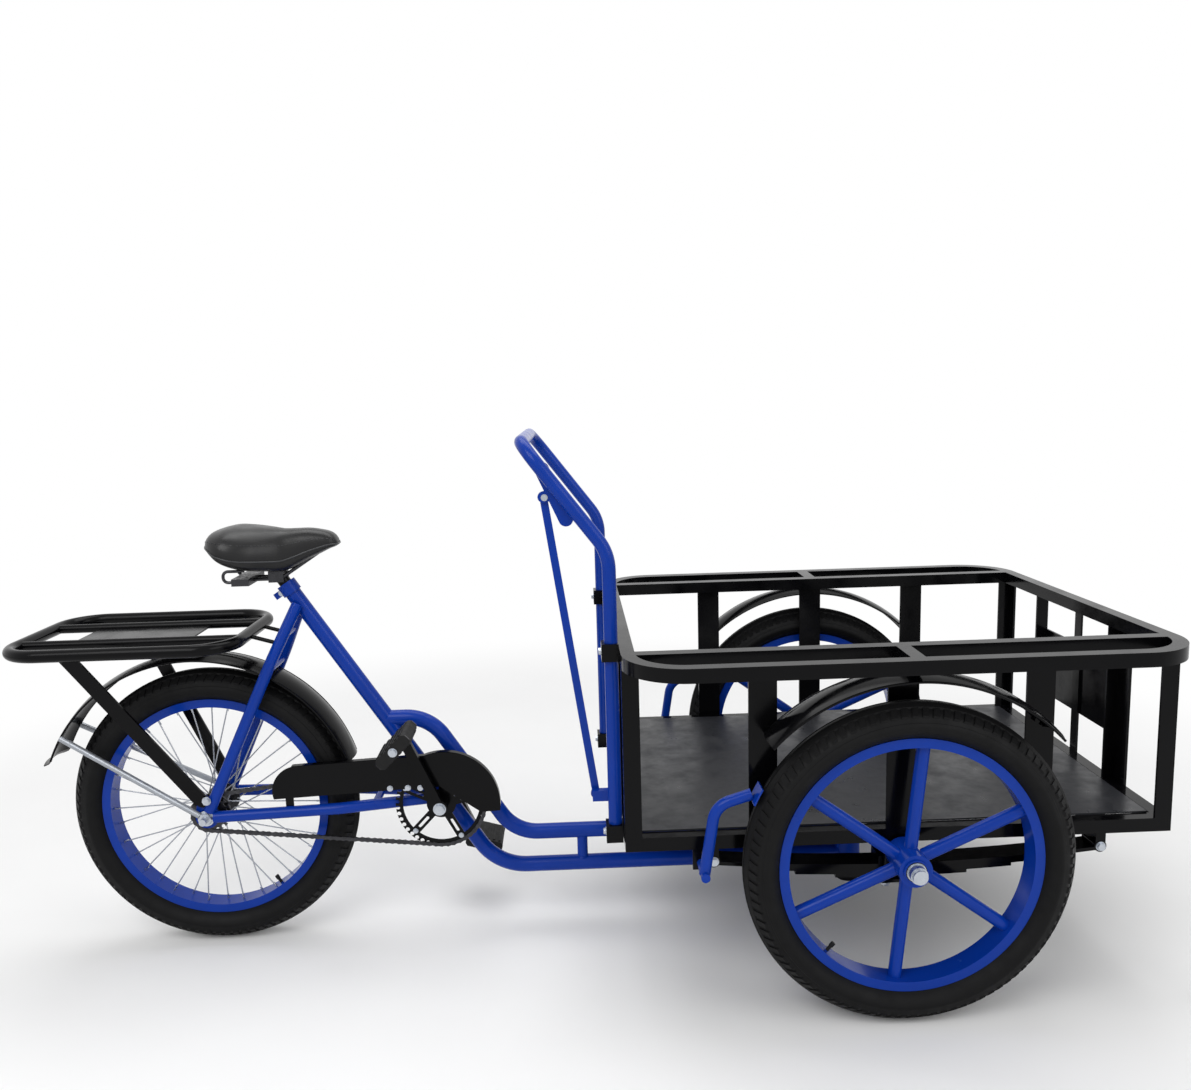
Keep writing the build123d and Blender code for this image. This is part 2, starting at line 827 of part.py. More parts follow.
# Round stays run from eyes on the axle to the rear fender's edges
with BuildPart() as fender_stays:
    eye_middle = rear_point + across * (dropout_face + stay_eye_thickness / 2)
    stay_start = on_circle(rear_point, fender_stay_eye / 2, fender_stay_angle)
    start_side = across * (dropout_face + (stay_eye_thickness + fender_stay_diameter) / 2)
    fender_edge = rear_fender_radius - fender_crown - fender_sheet
    stay_end = on_circle(fender_crown_point, fender_edge, fender_stay_angle)
    end_side = across * (rear_fender_width / 2 + touch_gap + fender_stay_diameter / 4)
    add(disc(eye_middle, fender_stay_eye, stay_eye_thickness))
    add(round_bar(stay_start + start_side, stay_end + end_side, fender_stay_diameter))
    mirror(about=Plane.XZ)
    add([rear_fender.part, rear_axle.part], mode=Mode.SUBTRACT)
fender_stays.part.label = "fender_stays"
export_step(fender_stays.part, "parts/fender_stays.step")

# ================================================================ chain drive
ring_pitch_r = chain_pitch / 2 / sin(pi / chainring_teeth)
sprocket_pitch_r = chain_pitch / 2 / sin(pi / sprocket_teeth)
ring_bore_r = ring_pitch_r - chainring_band
crank_dir = on_circle(Vector(), 1, crank_angle)
arm_inner = crank_plane - crank_thickness / 2
arm_outer = crank_plane + crank_thickness / 2


def toothed_disc(centre, teeth, pitch_r, bore_r):
    """A flat sprocket on the chain line whose gaps are round seats for the chain's rollers."""
    with BuildPart() as plate:
        with BuildSketch(Plane.XZ.offset(chain_line - tooth_plate / 2)):
            with Locations((centre.X, centre.Z)):
                Circle(pitch_r + tooth_height)
                Circle(bore_r, mode=Mode.SUBTRACT)
                with PolarLocations(pitch_r, teeth, start_angle=180 / teeth):
                    Circle(roller_diameter / 2, mode=Mode.SUBTRACT)
        extrude(amount=tooth_plate)
    return plate.part


with BuildPart() as rear_sprocket:
    add(toothed_disc(rear_point, sprocket_teeth, sprocket_pitch_r, freewheel_diameter / 2 + running_gap))
rear_sprocket.part.label = "rear_sprocket"
export_step(rear_sprocket.part, "parts/rear_sprocket.step")


def crank_arm(side):
    """A flat crank with a boss at each end and a hole for the pedal's axle."""
    start = bracket_point + across * (side * crank_plane)
    end = start - crank_dir * (side * crank_length)
    with BuildPart() as arm:
        add(link(start, end, crank_width, crank_width, crank_thickness))
        add(disc(start, crank_root_diameter, crank_thickness))
        add(disc(end, crank_eye_diameter, crank_thickness))
        add(disc(end, pedal_axle_diameter + 2 * running_gap, crank_thickness), mode=Mode.SUBTRACT)
    return arm.part


# The right crank carries the spindle and the chainring on five slotted arms
crank_spindle = disc(bracket_point, crank_spindle_diameter, 2 * arm_outer)
with BuildPart() as crank_right:
    with BuildSketch(Plane.XZ.offset(chain_line - tooth_plate / 2)):
        with Locations((bracket_x, bracket_z)):
            arm_run = ring_bore_r - spider_hub_diameter / 2 + chainring_band / 2
            arm_middle = (ring_bore_r + spider_hub_diameter / 2) / 2
            with PolarLocations(arm_middle, spider_arms, start_angle=spider_phase):
                Rectangle(arm_run, spider_arm_width)
                SlotOverall(spider_slot_length, spider_slot_width, mode=Mode.SUBTRACT)
            Circle(spider_hub_diameter / 2)
    extrude(amount=tooth_plate)
    add(toothed_disc(bracket_point, chainring_teeth, ring_pitch_r, ring_bore_r))
    boss_start = bracket_point - across * (bracket_shell_width / 2 + 2 * side_gap)
    add(round_bar(boss_start, bracket_point - across * crank_plane, crank_boss_diameter))
    add(crank_spindle)
    add(crank_arm(-1))
crank_right.part.label = "crank_right"
export_step(crank_right.part, "parts/crank_right.step")

with BuildPart() as crank_left:
    add(crank_arm(1))
    add(crank_spindle, mode=Mode.SUBTRACT)
crank_left.part.label = "crank_left"
export_step(crank_left.part, "parts/crank_left.step")

# Block pedals turn on axles in the crank ends
for name, side in (("left", 1), ("right", -1)):
    outward = across * side
    crank_end = bracket_point - crank_dir * (side * crank_length)
    tread_dir = on_circle(Vector(), 1, pedal_tilt[name])
    tread_start = crank_end + outward * (arm_outer + pedal_inset)
    with BuildPart() as pedal:
        with BuildSketch(Plane(origin=tread_start, x_dir=tread_dir, z_dir=outward)) as tread:
            Rectangle(pedal_width, pedal_height)
            chamfer(tread.vertices(), pedal_edge)
        extrude(amount=pedal_length)
        add(round_bar(crank_end + outward * arm_inner, tread_start + outward, pedal_axle_diameter))
    pedal.part.label = f"pedal_{name}"
    export_step(pedal.part, f"parts/pedal_{name}.step")

# The chain is one fixed loop of two plates with rollers; the teeth pass between the plates
chain_wheels = [(rear_point, sprocket_pitch_r), (bracket_point, ring_pitch_r)]
chain_run = (bracket_point - rear_point).normalized()
chain_rise = Vector(-chain_run.Z, 0, chain_run.X)
chain_spread = (ring_pitch_r - sprocket_pitch_r) / (bracket_point - rear_point).length
with BuildPart() as chain:
    for plate_face in (chain_line - chain_gap / 2 - chain_plate, chain_line + chain_gap / 2):
        with BuildSketch(Plane.XZ.offset(plate_face)):
            for centre, radius in chain_wheels:
                with Locations((centre.X, centre.Z)):
                    Circle(radius + chain_height / 2)
            make_hull()
            with BuildSketch(Plane.XZ.offset(plate_face), mode=Mode.SUBTRACT):
                for centre, radius in chain_wheels:
                    with Locations((centre.X, centre.Z)):
                        Circle(radius - chain_height / 2)
                make_hull()
        extrude(amount=chain_plate)
    for side in (1, -1):
        normal = chain_rise * (side * sqrt(1 - chain_spread**2)) - chain_run * chain_spread
        first = rear_point + normal * sprocket_pitch_r - across * chain_line
        last = bracket_point + normal * ring_pitch_r - across * chain_line
        for count in range(1, chain_rollers + 1):
            roller_middle = first + (last - first) * (count / (chain_rollers + 1))
            add(disc(roller_middle, roller_diameter, chain_gap + chain_plate))
chain.part.label = "chain"
export_step(chain.part, "parts/chain.step")

# The guard is a sheet outside the chain, with a lip turned in over the chain's top and front
guard_y = chain_line + chain_gap / 2 + chain_plate + guard_side_gap
guard_top = bracket_z + ring_pitch_r + guard_head_gap
guard_bottom = bracket_z + guard_foot
guard_rear_x = bracket_x - guard_tail
guard_nose = on_circle(bracket_point, ring_pitch_r + guard_nose_gap, guard_nose_angle)
guard_tip = on_circle(bracket_point, ring_pitch_r + guard_tip_gap, guard_tip_angle)
with BuildPart() as chain_guard:
    with BuildSketch(Plane.XZ.offset(guard_y)):
        with BuildLine() as guard_head:
            tail_top = (guard_rear_x + guard_tail_slope, guard_top - guard_tail_drop)
            top_line = Line(tail_top, (bracket_x - guard_head_reach, guard_top + guard_head_rise))
            nose_middle = (guard_nose.X, guard_nose.Z)
            nose_line = ThreePointArc(top_line @ 1, nose_middle, (guard_tip.X, guard_tip.Z))
        trace(line_width=guard_sheet)
    extrude(amount=-guard_lip)
    with BuildSketch(Plane.XZ.offset(guard_y)):
        with BuildLine():
            add(guard_head.line)
            notch = Line(nose_line @ 1, (bracket_x + guard_notch_reach, bracket_z - guard_notch_drop))
            step_up = Line(notch @ 1, (bracket_x, guard_bottom + guard_foot_rise))
            foot = Line(step_up @ 1, (guard_rear_x + guard_tail_foot, guard_bottom))
            tail_height = (guard_top - guard_tail_drop + guard_bottom) / 2 + guard_tail_bulge
            tail_middle = (guard_rear_x + guard_tail_round, tail_height)
            ThreePointArc(foot @ 1, tail_middle, tail_top)
        make_face()
    extrude(amount=guard_sheet)
    strap_middle = along_seat_tube(guard_top - guard_strap_thickness)
    add(
        block(
            (strap_middle.X - guard_strap_width / 2, -guard_y, strap_middle.Z - guard_strap_thickness / 2),
            (strap_middle.X + guard_strap_width / 2, 0, strap_middle.Z + guard_strap_thickness / 2),
        )
    )
    bracket_middle = rear_x + guard_bracket_reach
    add(
        block(
            (bracket_middle - guard_bracket_width / 2, -guard_y, bracket_z),
            (
                bracket_middle + guard_bracket_width / 2,
                -guard_y + guard_bracket_sheet,
                bracket_z + guard_bracket_height,
            ),
        )
    )
    add([seat_tube.part, chain_stays.part], mode=Mode.SUBTRACT)
chain_guard.part.label = "chain_guard"
export_step(chain_guard.part, "parts/chain_guard.step")

# ================================================================ front axle, pivot and springs
hub_inner_y = wheel_y - front_hub_width / 2
hub_outer_y = wheel_y + front_hub_width / 2
beam_half = hub_inner_y - beam_end_gap
beam_bottom = axle_z - beam_size / 2
box_floor_height = axle_z + beam_size / 2 + beam_headroom
box_top = box_floor_height + box_height
box_half = wheel_y - tyre_width / 2 - moving_gap
box_rear = ahead(-box_rear_reach)
box_front = ahead(box_front_reach)
box_middle = (box_rear + box_front) / 2
rail_top = box_floor_height + rail
ring_bottom = box_top - rail
spring_y = spring_spread / 2
spring_eye_z = box_floor_height - spring_eye_drop
spring_low_z = spring_eye_z - spring_drop


def leaf_pack(side):
    """A stack of curved leaves, the lowest the shortest, hung from the box by an eye at each end."""
    near_face = Plane.XZ.offset(-side * spring_y - spring_width / 2)
    low = Vector(front_x, spring_low_z)
    eye_places = (ahead(-spring_rear_reach), ahead(spring_front_reach))
    eyes = [Vector(eye_x, spring_eye_z) for eye_x in eye_places]
    with BuildPart() as pack:
        with BuildSketch(near_face):
            for leaf in range(leaf_count):
                share = 1 - leaf_step * leaf
                top_z = spring_low_z - leaf_thickness * leaf
                tip_z = top_z + spring_drop * share**2
                under = Vector(0, -leaf_thickness - leaf_lap)
                rear_tip, front_tip = [Vector(low.X + (eye.X - low.X) * share, tip_z) for eye in eyes]
                middle = Vector(low.X, top_z)
                with BuildLine():
                    upper = ThreePointArc(rear_tip, middle, front_tip)
                    end = Line(upper @ 1, front_tip + under)
                    lower = ThreePointArc(end @ 1, middle + under, rear_tip + under)
                    Line(lower @ 1, upper @ 0)
                make_face()
            with Locations(*eyes):
                Circle(spring_eye_diameter / 2)
        extrude(amount=spring_width)
        for eye in eyes:
            with Locations((eye.X, side * spring_y, (spring_eye_z + box_floor_height) / 2)):
                Box(spring_hanger, spring_width, spring_eye_drop)
    return pack.part


with BuildPart() as leaf_springs:
    add(leaf_pack(1))
    mirror(about=Plane.XZ)
leaf_springs.part.label = "leaf_springs"
export_step(leaf_springs.part, "parts/leaf_springs.step")

# A square beam between the wheels, with a spindle, a collar and a nut at each hub
collar_middle = hub_inner_y - pivot_gap - spindle_collar_width / 2
spindle_nut_middle = hub_outer_y + pivot_gap + spindle_nut_width / 2
with BuildPart() as axle_beam:
    with Locations(front_point):
        Box(beam_size, 2 * beam_half, beam_size)
    pad_height = beam_bottom - spring_low_z
    for side in (-1, 1):
        outward = across * side
        add(disc(front_point + outward * collar_middle, spindle_collar_diameter, spindle_collar_width))
        add(disc(front_point + outward * spindle_nut_middle, spindle_nut_diameter, spindle_nut_width))
        with Locations((front_x, side * spring_y, beam_bottom - pad_height / 2)):
            Box(spring_pad_length, spring_width, pad_height)
    spindle_half = hub_outer_y + spindle_nut_width + spindle_end
    add(disc(front_point, spindle_diameter, 2 * spindle_half))
    add(leaf_springs.part, mode=Mode.SUBTRACT)
axle_beam.part.label = "axle_beam"
export_step(axle_beam.part, "parts/axle_beam.step")

# The kingpin hangs from the beam through the frame's sleeve and is capped below it
cap_top = sleeve_bottom - pivot_gap
cap_bottom = cap_top - kingpin_cap_height
with BuildPart() as kingpin:
    add(pillar(front_x, cap_bottom, beam_bottom, kingpin_diameter))
    add(pillar(front_x, cap_bottom, cap_top, kingpin_shoulder_diameter))
    add(pillar(front_x, sleeve_top + pivot_gap, beam_bottom, kingpin_shoulder_diameter))
kingpin.part.label = "kingpin"
export_step(kingpin.part, "parts/kingpin.step")

# ================================================================ cargo box
# The hoop's tubes stand just behind the box and the brake shaft runs under its rear
handle_x = box_rear - handle_tube / 2 - handle_gap
handle_y = handle_spread / 2
handle_foot = box_floor_height - handle_foot_drop
shaft_point = Vector(front_x - tyre_r - brake_shaft_gap, 0, box_floor_height - brake_shaft_drop)
hanger_y = box_half - hanger_inset - hanger_thickness / 2


def side_bar(x_low, x_high, z_low, z_high, depth):
    """A pair of upright or level bars, one on each side, whose outer faces are the box's sides."""
    with BuildPart() as bars:
        for side in (-1, 1):
            with Locations(((x_low + x_high) / 2, side * (box_half - depth / 2), (z_low + z_high) / 2)):
                Box(x_high - x_low, depth, z_high - z_low)
    return bars.part


def clamps(bottom):
    """A pair of clamps behind the box, each with a bore for a tube of the handlebar hoop."""
    with BuildPart() as pair:
        for side in (-1, 1):
            with Locations((box_rear - clamp_depth / 2, side * handle_y, bottom + clamp_height / 2)):
                Box(clamp_depth, clamp_width, clamp_height)
            bore_start = Vector(handle_x, side * handle_y, bottom)
            bore_end = bore_start + Vector(0, 0, clamp_height)
            add(round_bar(bore_start, bore_end, handle_tube + 2 * running_gap), mode=Mode.SUBTRACT)
    return pair.part


with BuildPart() as box_base:
    add(side_bar(box_rear, box_front, box_floor_height, rail_top, rail))
    cross_rails = [
        box_rear + rail / 2,
        ahead(-spring_rear_reach),
        front_x,
        ahead(spring_front_reach),
        box_front - rail / 2,
    ]
    for rail_x in cross_rails:
        with Locations((rail_x, 0, box_floor_height + rail / 2)):
            Box(rail, 2 * box_half, rail)
    add(clamps(handle_foot - clamp_overhang))
    for side in (-1, 1):
        hanger_foot_point = shaft_point + across * (side * hanger_y) - Vector(0, 0, hanger_foot)
        with Locations(hanger_foot_point):
            Box(
                hanger_width,
                hanger_thickness,
                box_floor_height - hanger_foot_point.Z,
                align=(Align.CENTER, Align.CENTER, Align.MIN),
            )
    add(disc(shaft_point, brake_shaft_diameter + 2 * running_gap, 2 * box_half), mode=Mode.SUBTRACT)
box_base.part.label = "box_base"
export_step(box_base.part, "parts/box_base.step")

with BuildPart() as box_floor:
    floor_half = box_half - rail - touch_gap
    add(
        block(
            (box_rear + corner_post, -floor_half, rail_top),
            (box_front - corner_post, floor_half, rail_top + floor_sheet),
        )
    )
box_floor.part.label = "box_floor"
export_step(box_floor.part, "parts/box_floor.step")

# Each corner post is an angle iron with one leg in the side and one in the end
with BuildPart() as corner_posts:
    for low_x, leg_x in ((box_rear, box_rear), (box_front - corner_post, box_front - post_sheet)):
        add(side_bar(low_x, low_x + corner_post, rail_top, ring_bottom, post_sheet))
        add(side_bar(leg_x, leg_x + post_sheet, rail_top, ring_bottom, corner_post))
corner_posts.part.label = "corner_posts"
export_step(corner_posts.part, "parts/corner_posts.step")

with BuildPart() as side_posts:
    for count in range(1, side_post_count + 1):
        post_x = box_rear + (box_front - box_rear) * count / (side_post_count + 1)
        add(side_bar(post_x - side_post / 2, post_x + side_post / 2, rail_top, ring_bottom, post_sheet))
side_posts.part.label = "side_posts"
export_step(side_posts.part, "parts/side_posts.step")

# The top ring is wider than the posts, so it reaches out over the wheels
with BuildPart() as top_ring:
    ring_length = box_front - box_rear
    with BuildSketch(Plane.XY.offset(ring_bottom)):
        with Locations((box_middle, 0)):
            RectangleRounded(ring_length, 2 * ring_half_width, ring_corner)
            RectangleRounded(
                ring_length - 2 * rail,
                2 * (ring_half_width - rail),
                ring_corner - rail,
                mode=Mode.SUBTRACT,
            )
    extrude(amount=rail)
    add(clamps(ring_bottom + (rail - clamp_height) / 2))
top_ring.part.label = "top_ring"
export_step(top_ring.part, "parts/top_ring.step")

# Straight rails on the posts' heads, each tied to the ring by a short bar at the middle
with BuildPart() as inner_rails:
    add(side_bar(box_rear + pivot_gap, box_front - pivot_gap, ring_bottom, box_top, rail))
    tie_start = box_half
    tie_end = ring_half_width - rail
    for side in (-1, 1):
        with Locations((box_middle, side * (tie_start + tie_end) / 2, ring_bottom + rail / 2)):
            Box(rail, tie_end - tie_start, rail)
    add(top_ring.part, mode=Mode.SUBTRACT)
inner_rails.part.label = "inner_rails"
export_step(inner_rails.part, "parts/inner_rails.step")


def end_posts(face, inward):
    """A pair of angle-iron posts in an end wall, their outer legs flush with its face."""
    with BuildPart() as posts:
        middle_z = (rail_top + ring_bottom) / 2
        for side in (-1, 1):
            for reach, depth in ((end_post, post_sheet), (post_sheet, rail)):
                middle_y = side * (end_post_spread + reach) / 2
                with Locations((face + inward * depth / 2, middle_y, middle_z)):
                    Box(depth, reach, ring_bottom - rail_top)
    return posts.part


# The front wall has two posts, a thin centre bar and a narrow panel between the posts
with BuildPart() as front_wall:
    add(end_posts(box_front, -1))
    add(
        block(
            (box_front - 2 * panel_sheet, -rail / 2, rail_top),
            (box_front - panel_sheet, rail / 2, ring_bottom),
        )
    )
    panel_half = end_post_spread / 2
    panel_low = box_floor_height + panel_rise
    add(
        block(
            (box_front - panel_sheet, -panel_half, panel_low),
            (box_front, panel_half, panel_low + panel_height),
        )
    )
front_wall.part.label = "front_wall"
export_step(front_wall.part, "parts/front_wall.step")

with BuildPart() as rear_wall:
    add(end_posts(box_rear, 1))
rear_wall.part.label = "rear_wall"
export_step(rear_wall.part, "parts/rear_wall.step")

# Front fenders are held by studs on the side posts
with BuildPart() as front_fenders:
    for side in (-1, 1):
        centre = front_point + across * (side * wheel_y)
        add(
            fender_at(
                centre,
                front_fender_radius,
                front_fender_width,
                front_fender_start,
                front_fender_finish,
            )
        )
        stud_end = wheel_y - front_fender_width / 2 + fender_stud_lap
        stud_middle = across * (side * (box_half + stud_end) / 2)
        for angle in fender_stud_angles:
            stud = on_circle(front_point, front_fender_radius - fender_crown - fender_sheet / 2, angle)
            add(disc(stud + stud_middle, fender_stud_diameter, stud_end - box_half))
front_fenders.part.label = "front_fenders"
export_step(front_fenders.part, "parts/front_fenders.step")

# ================================================================ handlebar and brakes
bend_z = box_top + handle_bend_rise
top_z = box_top + handle_rise - handle_tube / 2
top_x = handle_x - (top_z - bend_z) / tan(radians(handle_lean))
handle_side = -handle_y + handle_tube / 2
lug_face = handle_side + touch_gap + lug_thickness
lug_z = handle_foot + lug_rise
lever_pin_x = handle_x - lever_pin_rise / tan(radians(handle_lean))
lever_pin_point = Vector(lever_pin_x, handle_side + touch_gap + lug_thickness / 2, bend_z + lever_pin_rise)

# The hoop carries a lug for the brake rod's foot and a pin for the lever
with BuildPart() as handlebar:
    left_line = [Vector(handle_x, handle_y, handle_foot), Vector(handle_x, handle_y, bend_z)]
    top_left = Vector(top_x, handle_y, top_z)
    right_side = Vector(0, -handle_spread, 0)
    hoop_line = [
        *left_line,
        top_left,
        top_left + right_side,
        left_line[1] + right_side,
        left_line[0] + right_side,
    ]
    hoop_bends = [handle_bend_radius, handle_corner_radius, handle_corner_radius, handle_bend_radius]
    add(bent_bar(hoop_line, hoop_bends, handle_tube))
    add(
        block(
            (handle_x - handle_tube / 2 - lug_reach, handle_side - handle_tube / 4, lug_z - lug_height / 2),
            (handle_x, lug_face, lug_z + lug_height / 2),
        )
    )
    pin_start = Vector(lever_pin_point.X, -handle_y, lever_pin_point.Z)
    pin_end = Vector(lever_pin_point.X, lug_face + lever_pin_end, lever_pin_point.Z)
    add(round_bar(pin_start, pin_end, lever_pin_diameter))
handlebar.part.label = "handlebar"
export_step(handlebar.part, "parts/handlebar.step")

# The lever hangs from its pin, and a short ear on it takes the head of the rod
rod_head = lever_pin_point + Vector(rod_top_set_back, 0, -rod_top_drop)
lever_dir = on_circle(Vector(), 1, -lever_angle)
with BuildPart() as brake_lever:
    lever_tip = lever_pin_point + lever_dir * lever_length
    add(link(lever_pin_point, lever_tip, lever_width, lever_width, lug_thickness))
    ear_root = lever_pin_point + lever_dir * rod_top_drop
    add(link(ear_root, rod_head, rod_eye, rod_eye, lug_thickness))
    pin_bore = disc(lever_pin_point, lever_pin_diameter + 2 * running_gap, lug_thickness)
    add([handlebar.part, pin_bore], mode=Mode.SUBTRACT)
brake_lever.part.label = "brake_lever"
export_step(brake_lever.part, "parts/brake_lever.step")

with BuildPart() as brake_rod:
    rod_y = lug_face + rod_thickness / 2
    rod_top = Vector(rod_head.X, rod_y, rod_head.Z)
    rod_foot = Vector(handle_x - handle_tube / 2 - lug_reach + rod_foot_inset, rod_y, lug_z)
    add(link(rod_top, rod_foot, rod_width, rod_width, rod_thickness))
    add(disc(rod_foot, rod_eye, rod_thickness))
brake_rod.part.label = "brake_rod"
export_step(brake_rod.part, "parts/brake_rod.step")

# A cross shaft under the box carries an arm with a spoon behind each front tyre
with BuildPart() as brake_shaft:
    spoon_r = tyre_r + moving_gap + spoon_sheet / 2
    add(disc(shaft_point, brake_shaft_diameter, 2 * (wheel_y + brake_shaft_end)))
    for side in (-1, 1):
        arm_side = across * (side * (wheel_y - brake_arm_inset))
        elbow = on_circle(front_point, tyre_r + brake_elbow_gap, brake_elbow_angle)
        arm_end = on_circle(front_point, spoon_r + spoon_seat, spoon_angle + spoon_seat_angle)
        arm_line = [shaft_point + arm_side, elbow + arm_side, arm_end + arm_side]
        add(bent_bar(arm_line, [brake_elbow_bend], brake_arm_tube))
        with BuildSketch(Plane.XZ.offset(-side * wheel_y)):
            with BuildLine():
                CenterArc((front_x, axle_z), spoon_r, spoon_angle - spoon_arc / 2, spoon_arc)
            trace(line_width=spoon_sheet)
        extrude(amount=spoon_width / 2, both=True)
brake_shaft.part.label = "brake_shaft"
export_step(brake_shaft.part, "parts/brake_shaft.step")
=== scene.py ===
"""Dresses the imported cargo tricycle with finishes, tyre tread, chain, saddle, fittings and a studio.

Metres. +X is forward, +Y is to the rider's left, +Z is up, and the origin lies on the ground.
"""

import logging
import math
from dataclasses import dataclass, field
from enum import Enum
from typing import Iterable, Sequence

import bmesh
import bpy
from mathutils import Matrix, Vector


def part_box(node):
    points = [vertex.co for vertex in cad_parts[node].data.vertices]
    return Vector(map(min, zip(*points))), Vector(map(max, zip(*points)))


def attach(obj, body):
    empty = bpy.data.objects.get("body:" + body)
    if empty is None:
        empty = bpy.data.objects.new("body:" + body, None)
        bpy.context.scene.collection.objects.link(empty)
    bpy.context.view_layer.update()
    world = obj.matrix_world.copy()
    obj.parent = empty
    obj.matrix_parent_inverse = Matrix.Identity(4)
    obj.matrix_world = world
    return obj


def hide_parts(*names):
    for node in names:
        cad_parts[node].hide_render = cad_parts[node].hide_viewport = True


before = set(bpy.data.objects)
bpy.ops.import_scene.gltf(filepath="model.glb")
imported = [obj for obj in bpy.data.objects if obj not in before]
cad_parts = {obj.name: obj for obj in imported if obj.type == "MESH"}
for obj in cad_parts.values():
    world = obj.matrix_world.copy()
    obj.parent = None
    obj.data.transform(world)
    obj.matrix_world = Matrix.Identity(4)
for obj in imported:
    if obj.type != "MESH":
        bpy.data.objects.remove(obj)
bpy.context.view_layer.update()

logging.basicConfig(level=logging.INFO, format="%(levelname)s %(message)s")
log = logging.getLogger("tricycle")

Socket = bpy.types.NodeSocket
Section = list[tuple[float, float]]
Shape = tuple[list[Vector], list[tuple]]
MM = 0.001


class Body(Enum):
    """The CAD bodies that pieces ride on."""

    FRAME = "frame"
    CARRIAGE = "carriage"
    REAR_WHEEL = "rear_wheel"
    CRANK = "crank"
    PEDAL_LEFT = "pedal_left"
    PEDAL_RIGHT = "pedal_right"
    FRONT_WHEEL_LEFT = "front_wheel_left"
    FRONT_WHEEL_RIGHT = "front_wheel_right"


def middle(node: str) -> Vector:
    """Finds the middle of a CAD node's box.

    Args:
        node: The CAD node's name.

    Returns:
        The point halfway between the box's corners.
    """
    low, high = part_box(node)
    return (low + high) / 2


# ---------------------------------------------------------------- finishes
def linear(code: str) -> tuple[float, float, float, float]:
    """Turns an sRGB hex code into linear colour.

    Args:
        code: Six hex digits, such as "1F3FA8".

    Returns:
        Red, green, blue and an alpha of 1.
    """
    parts = [int(code[i : i + 2], 16) / 255 for i in (0, 2, 4)]
    red, green, blue = [c / 12.92 if c <= 0.04045 else ((c + 0.055) / 1.055) ** 2.4 for c in parts]
    return red, green, blue, 1.0


def add_node(tree: bpy.types.NodeTree, kind: str, inputs: dict | None = None, **settings) -> bpy.types.Node:
    """Adds a node with its settings, values and links.

    Args:
        tree: The tree that takes the node.
        kind: The node's type name.
        inputs: Values or output sockets, keyed by an input's name or number.
        settings: The node's own properties.

    Returns:
        The new node.
    """
    made = tree.nodes.new(kind)
    for key, value in settings.items():
        setattr(made, key, value)
    for key, value in (inputs or {}).items():
        if isinstance(value, Socket):
            tree.links.new(value, made.inputs[key])
        else:
            made.inputs[key].default_value = value
    return made


@dataclass(frozen=True)
class Finish:
    """A surface finish: its colour, its gloss and the grain that the eye sees on it."""

    name: str
    colour: str
    shade: str
    roughness: float
    metallic: float = 0.0
    coat: float = 0.0
    grain_mm: float = 1.0
    grain_height: float = 0.02
    patch_mm: float = 60.0
    patch_gloss: float = 0.08
    specular: float = 0.5

    def grain(self, tree: bpy.types.NodeTree, place: Socket) -> Socket:
        """Makes the fine pattern that stands up from the surface.

        Args:
            tree: The material's tree.
            place: The Object coordinates.

        Returns:
            The pattern's height, from 0 to 1.
        """
        inputs = {"Vector": place, "Scale": 1 / (self.grain_mm * MM), "Detail": 3.0}
        return add_node(tree, "ShaderNodeTexNoise", inputs).outputs[0]

    def make(self) -> bpy.types.Material:
        """Builds the material.

        Returns:
            The material, with colour and gloss that vary in patches and a fine relief.
        """
        material = bpy.data.materials.new(self.name)
        material.use_nodes = True
        tree = material.node_tree
        shader = tree.nodes["Principled BSDF"]
        place = add_node(tree, "ShaderNodeTexCoord").outputs["Object"]
        patch_scale = 1 / (self.patch_mm * MM)
        patch = add_node(
            tree,
            "ShaderNodeTexNoise",
            {"Vector": place, "Scale": patch_scale, "Detail": 5.0, "Roughness": 0.6},
        ).outputs[0]
        tint = add_node(
            tree,
            "ShaderNodeMix",
            {0: patch, 6: linear(self.colour), 7: linear(self.shade)},
            data_type="RGBA",
        )
        gloss = add_node(
            tree,
            "ShaderNodeMapRange",
            {
                "Value": patch,
                "From Min": 0.3,
                "From Max": 0.7,
                "To Min": max(0.02, self.roughness - self.patch_gloss),
                "To Max": self.roughness + self.patch_gloss,
            },
        )
        bump = add_node(
            tree,
            "ShaderNodeBump",
            {"Height": self.grain(tree, place), "Distance": self.grain_height * MM, "Strength": 1.0},
        )
        tree.links.new(tint.outputs[2], shader.inputs["Base Color"])
        tree.links.new(gloss.outputs["Result"], shader.inputs["Roughness"])
        tree.links.new(bump.outputs["Normal"], shader.inputs["Normal"])
        shader.inputs["Metallic"].default_value = self.metallic
        shader.inputs["Specular IOR Level"].default_value = self.specular
        shader.inputs["Coat Weight"].default_value = self.coat
        shader.inputs["Coat Roughness"].default_value = 0.06
        log.info("finish %s", self.name)
        return material


@dataclass(frozen=True)
class BrushedFinish(Finish):
    """A finish whose grain is drawn out along the piece, as on turned or drawn metal."""

    stretch: float = 12.0

    def grain(self, tree: bpy.types.NodeTree, place: Socket) -> Socket:
        """Makes streaks by squeezing the noise along the vertical."""
        scale = 1 / (self.grain_mm * MM)
        spread = add_node(
            tree, "ShaderNodeMapping", {"Vector": place, "Scale": (1.0, 1.0, 1.0 / self.stretch)}
        ).outputs[0]
        return add_node(tree, "ShaderNodeTexNoise", {"Vector": spread, "Scale": scale}).outputs[0]


@dataclass(frozen=True)
class PebbledFinish(Finish):
    """A finish with a pebbled grain, as on embossed vinyl."""

    def grain(self, tree: bpy.types.NodeTree, place: Socket) -> Socket:
        """Makes rounded cells with creases between them."""
        scale = 1 / (self.grain_mm * MM)
        return add_node(
            tree, "ShaderNodeTexVoronoi", {"Vector": place, "Scale": scale}, feature="SMOOTH_F1"
        ).outputs["Distance"]


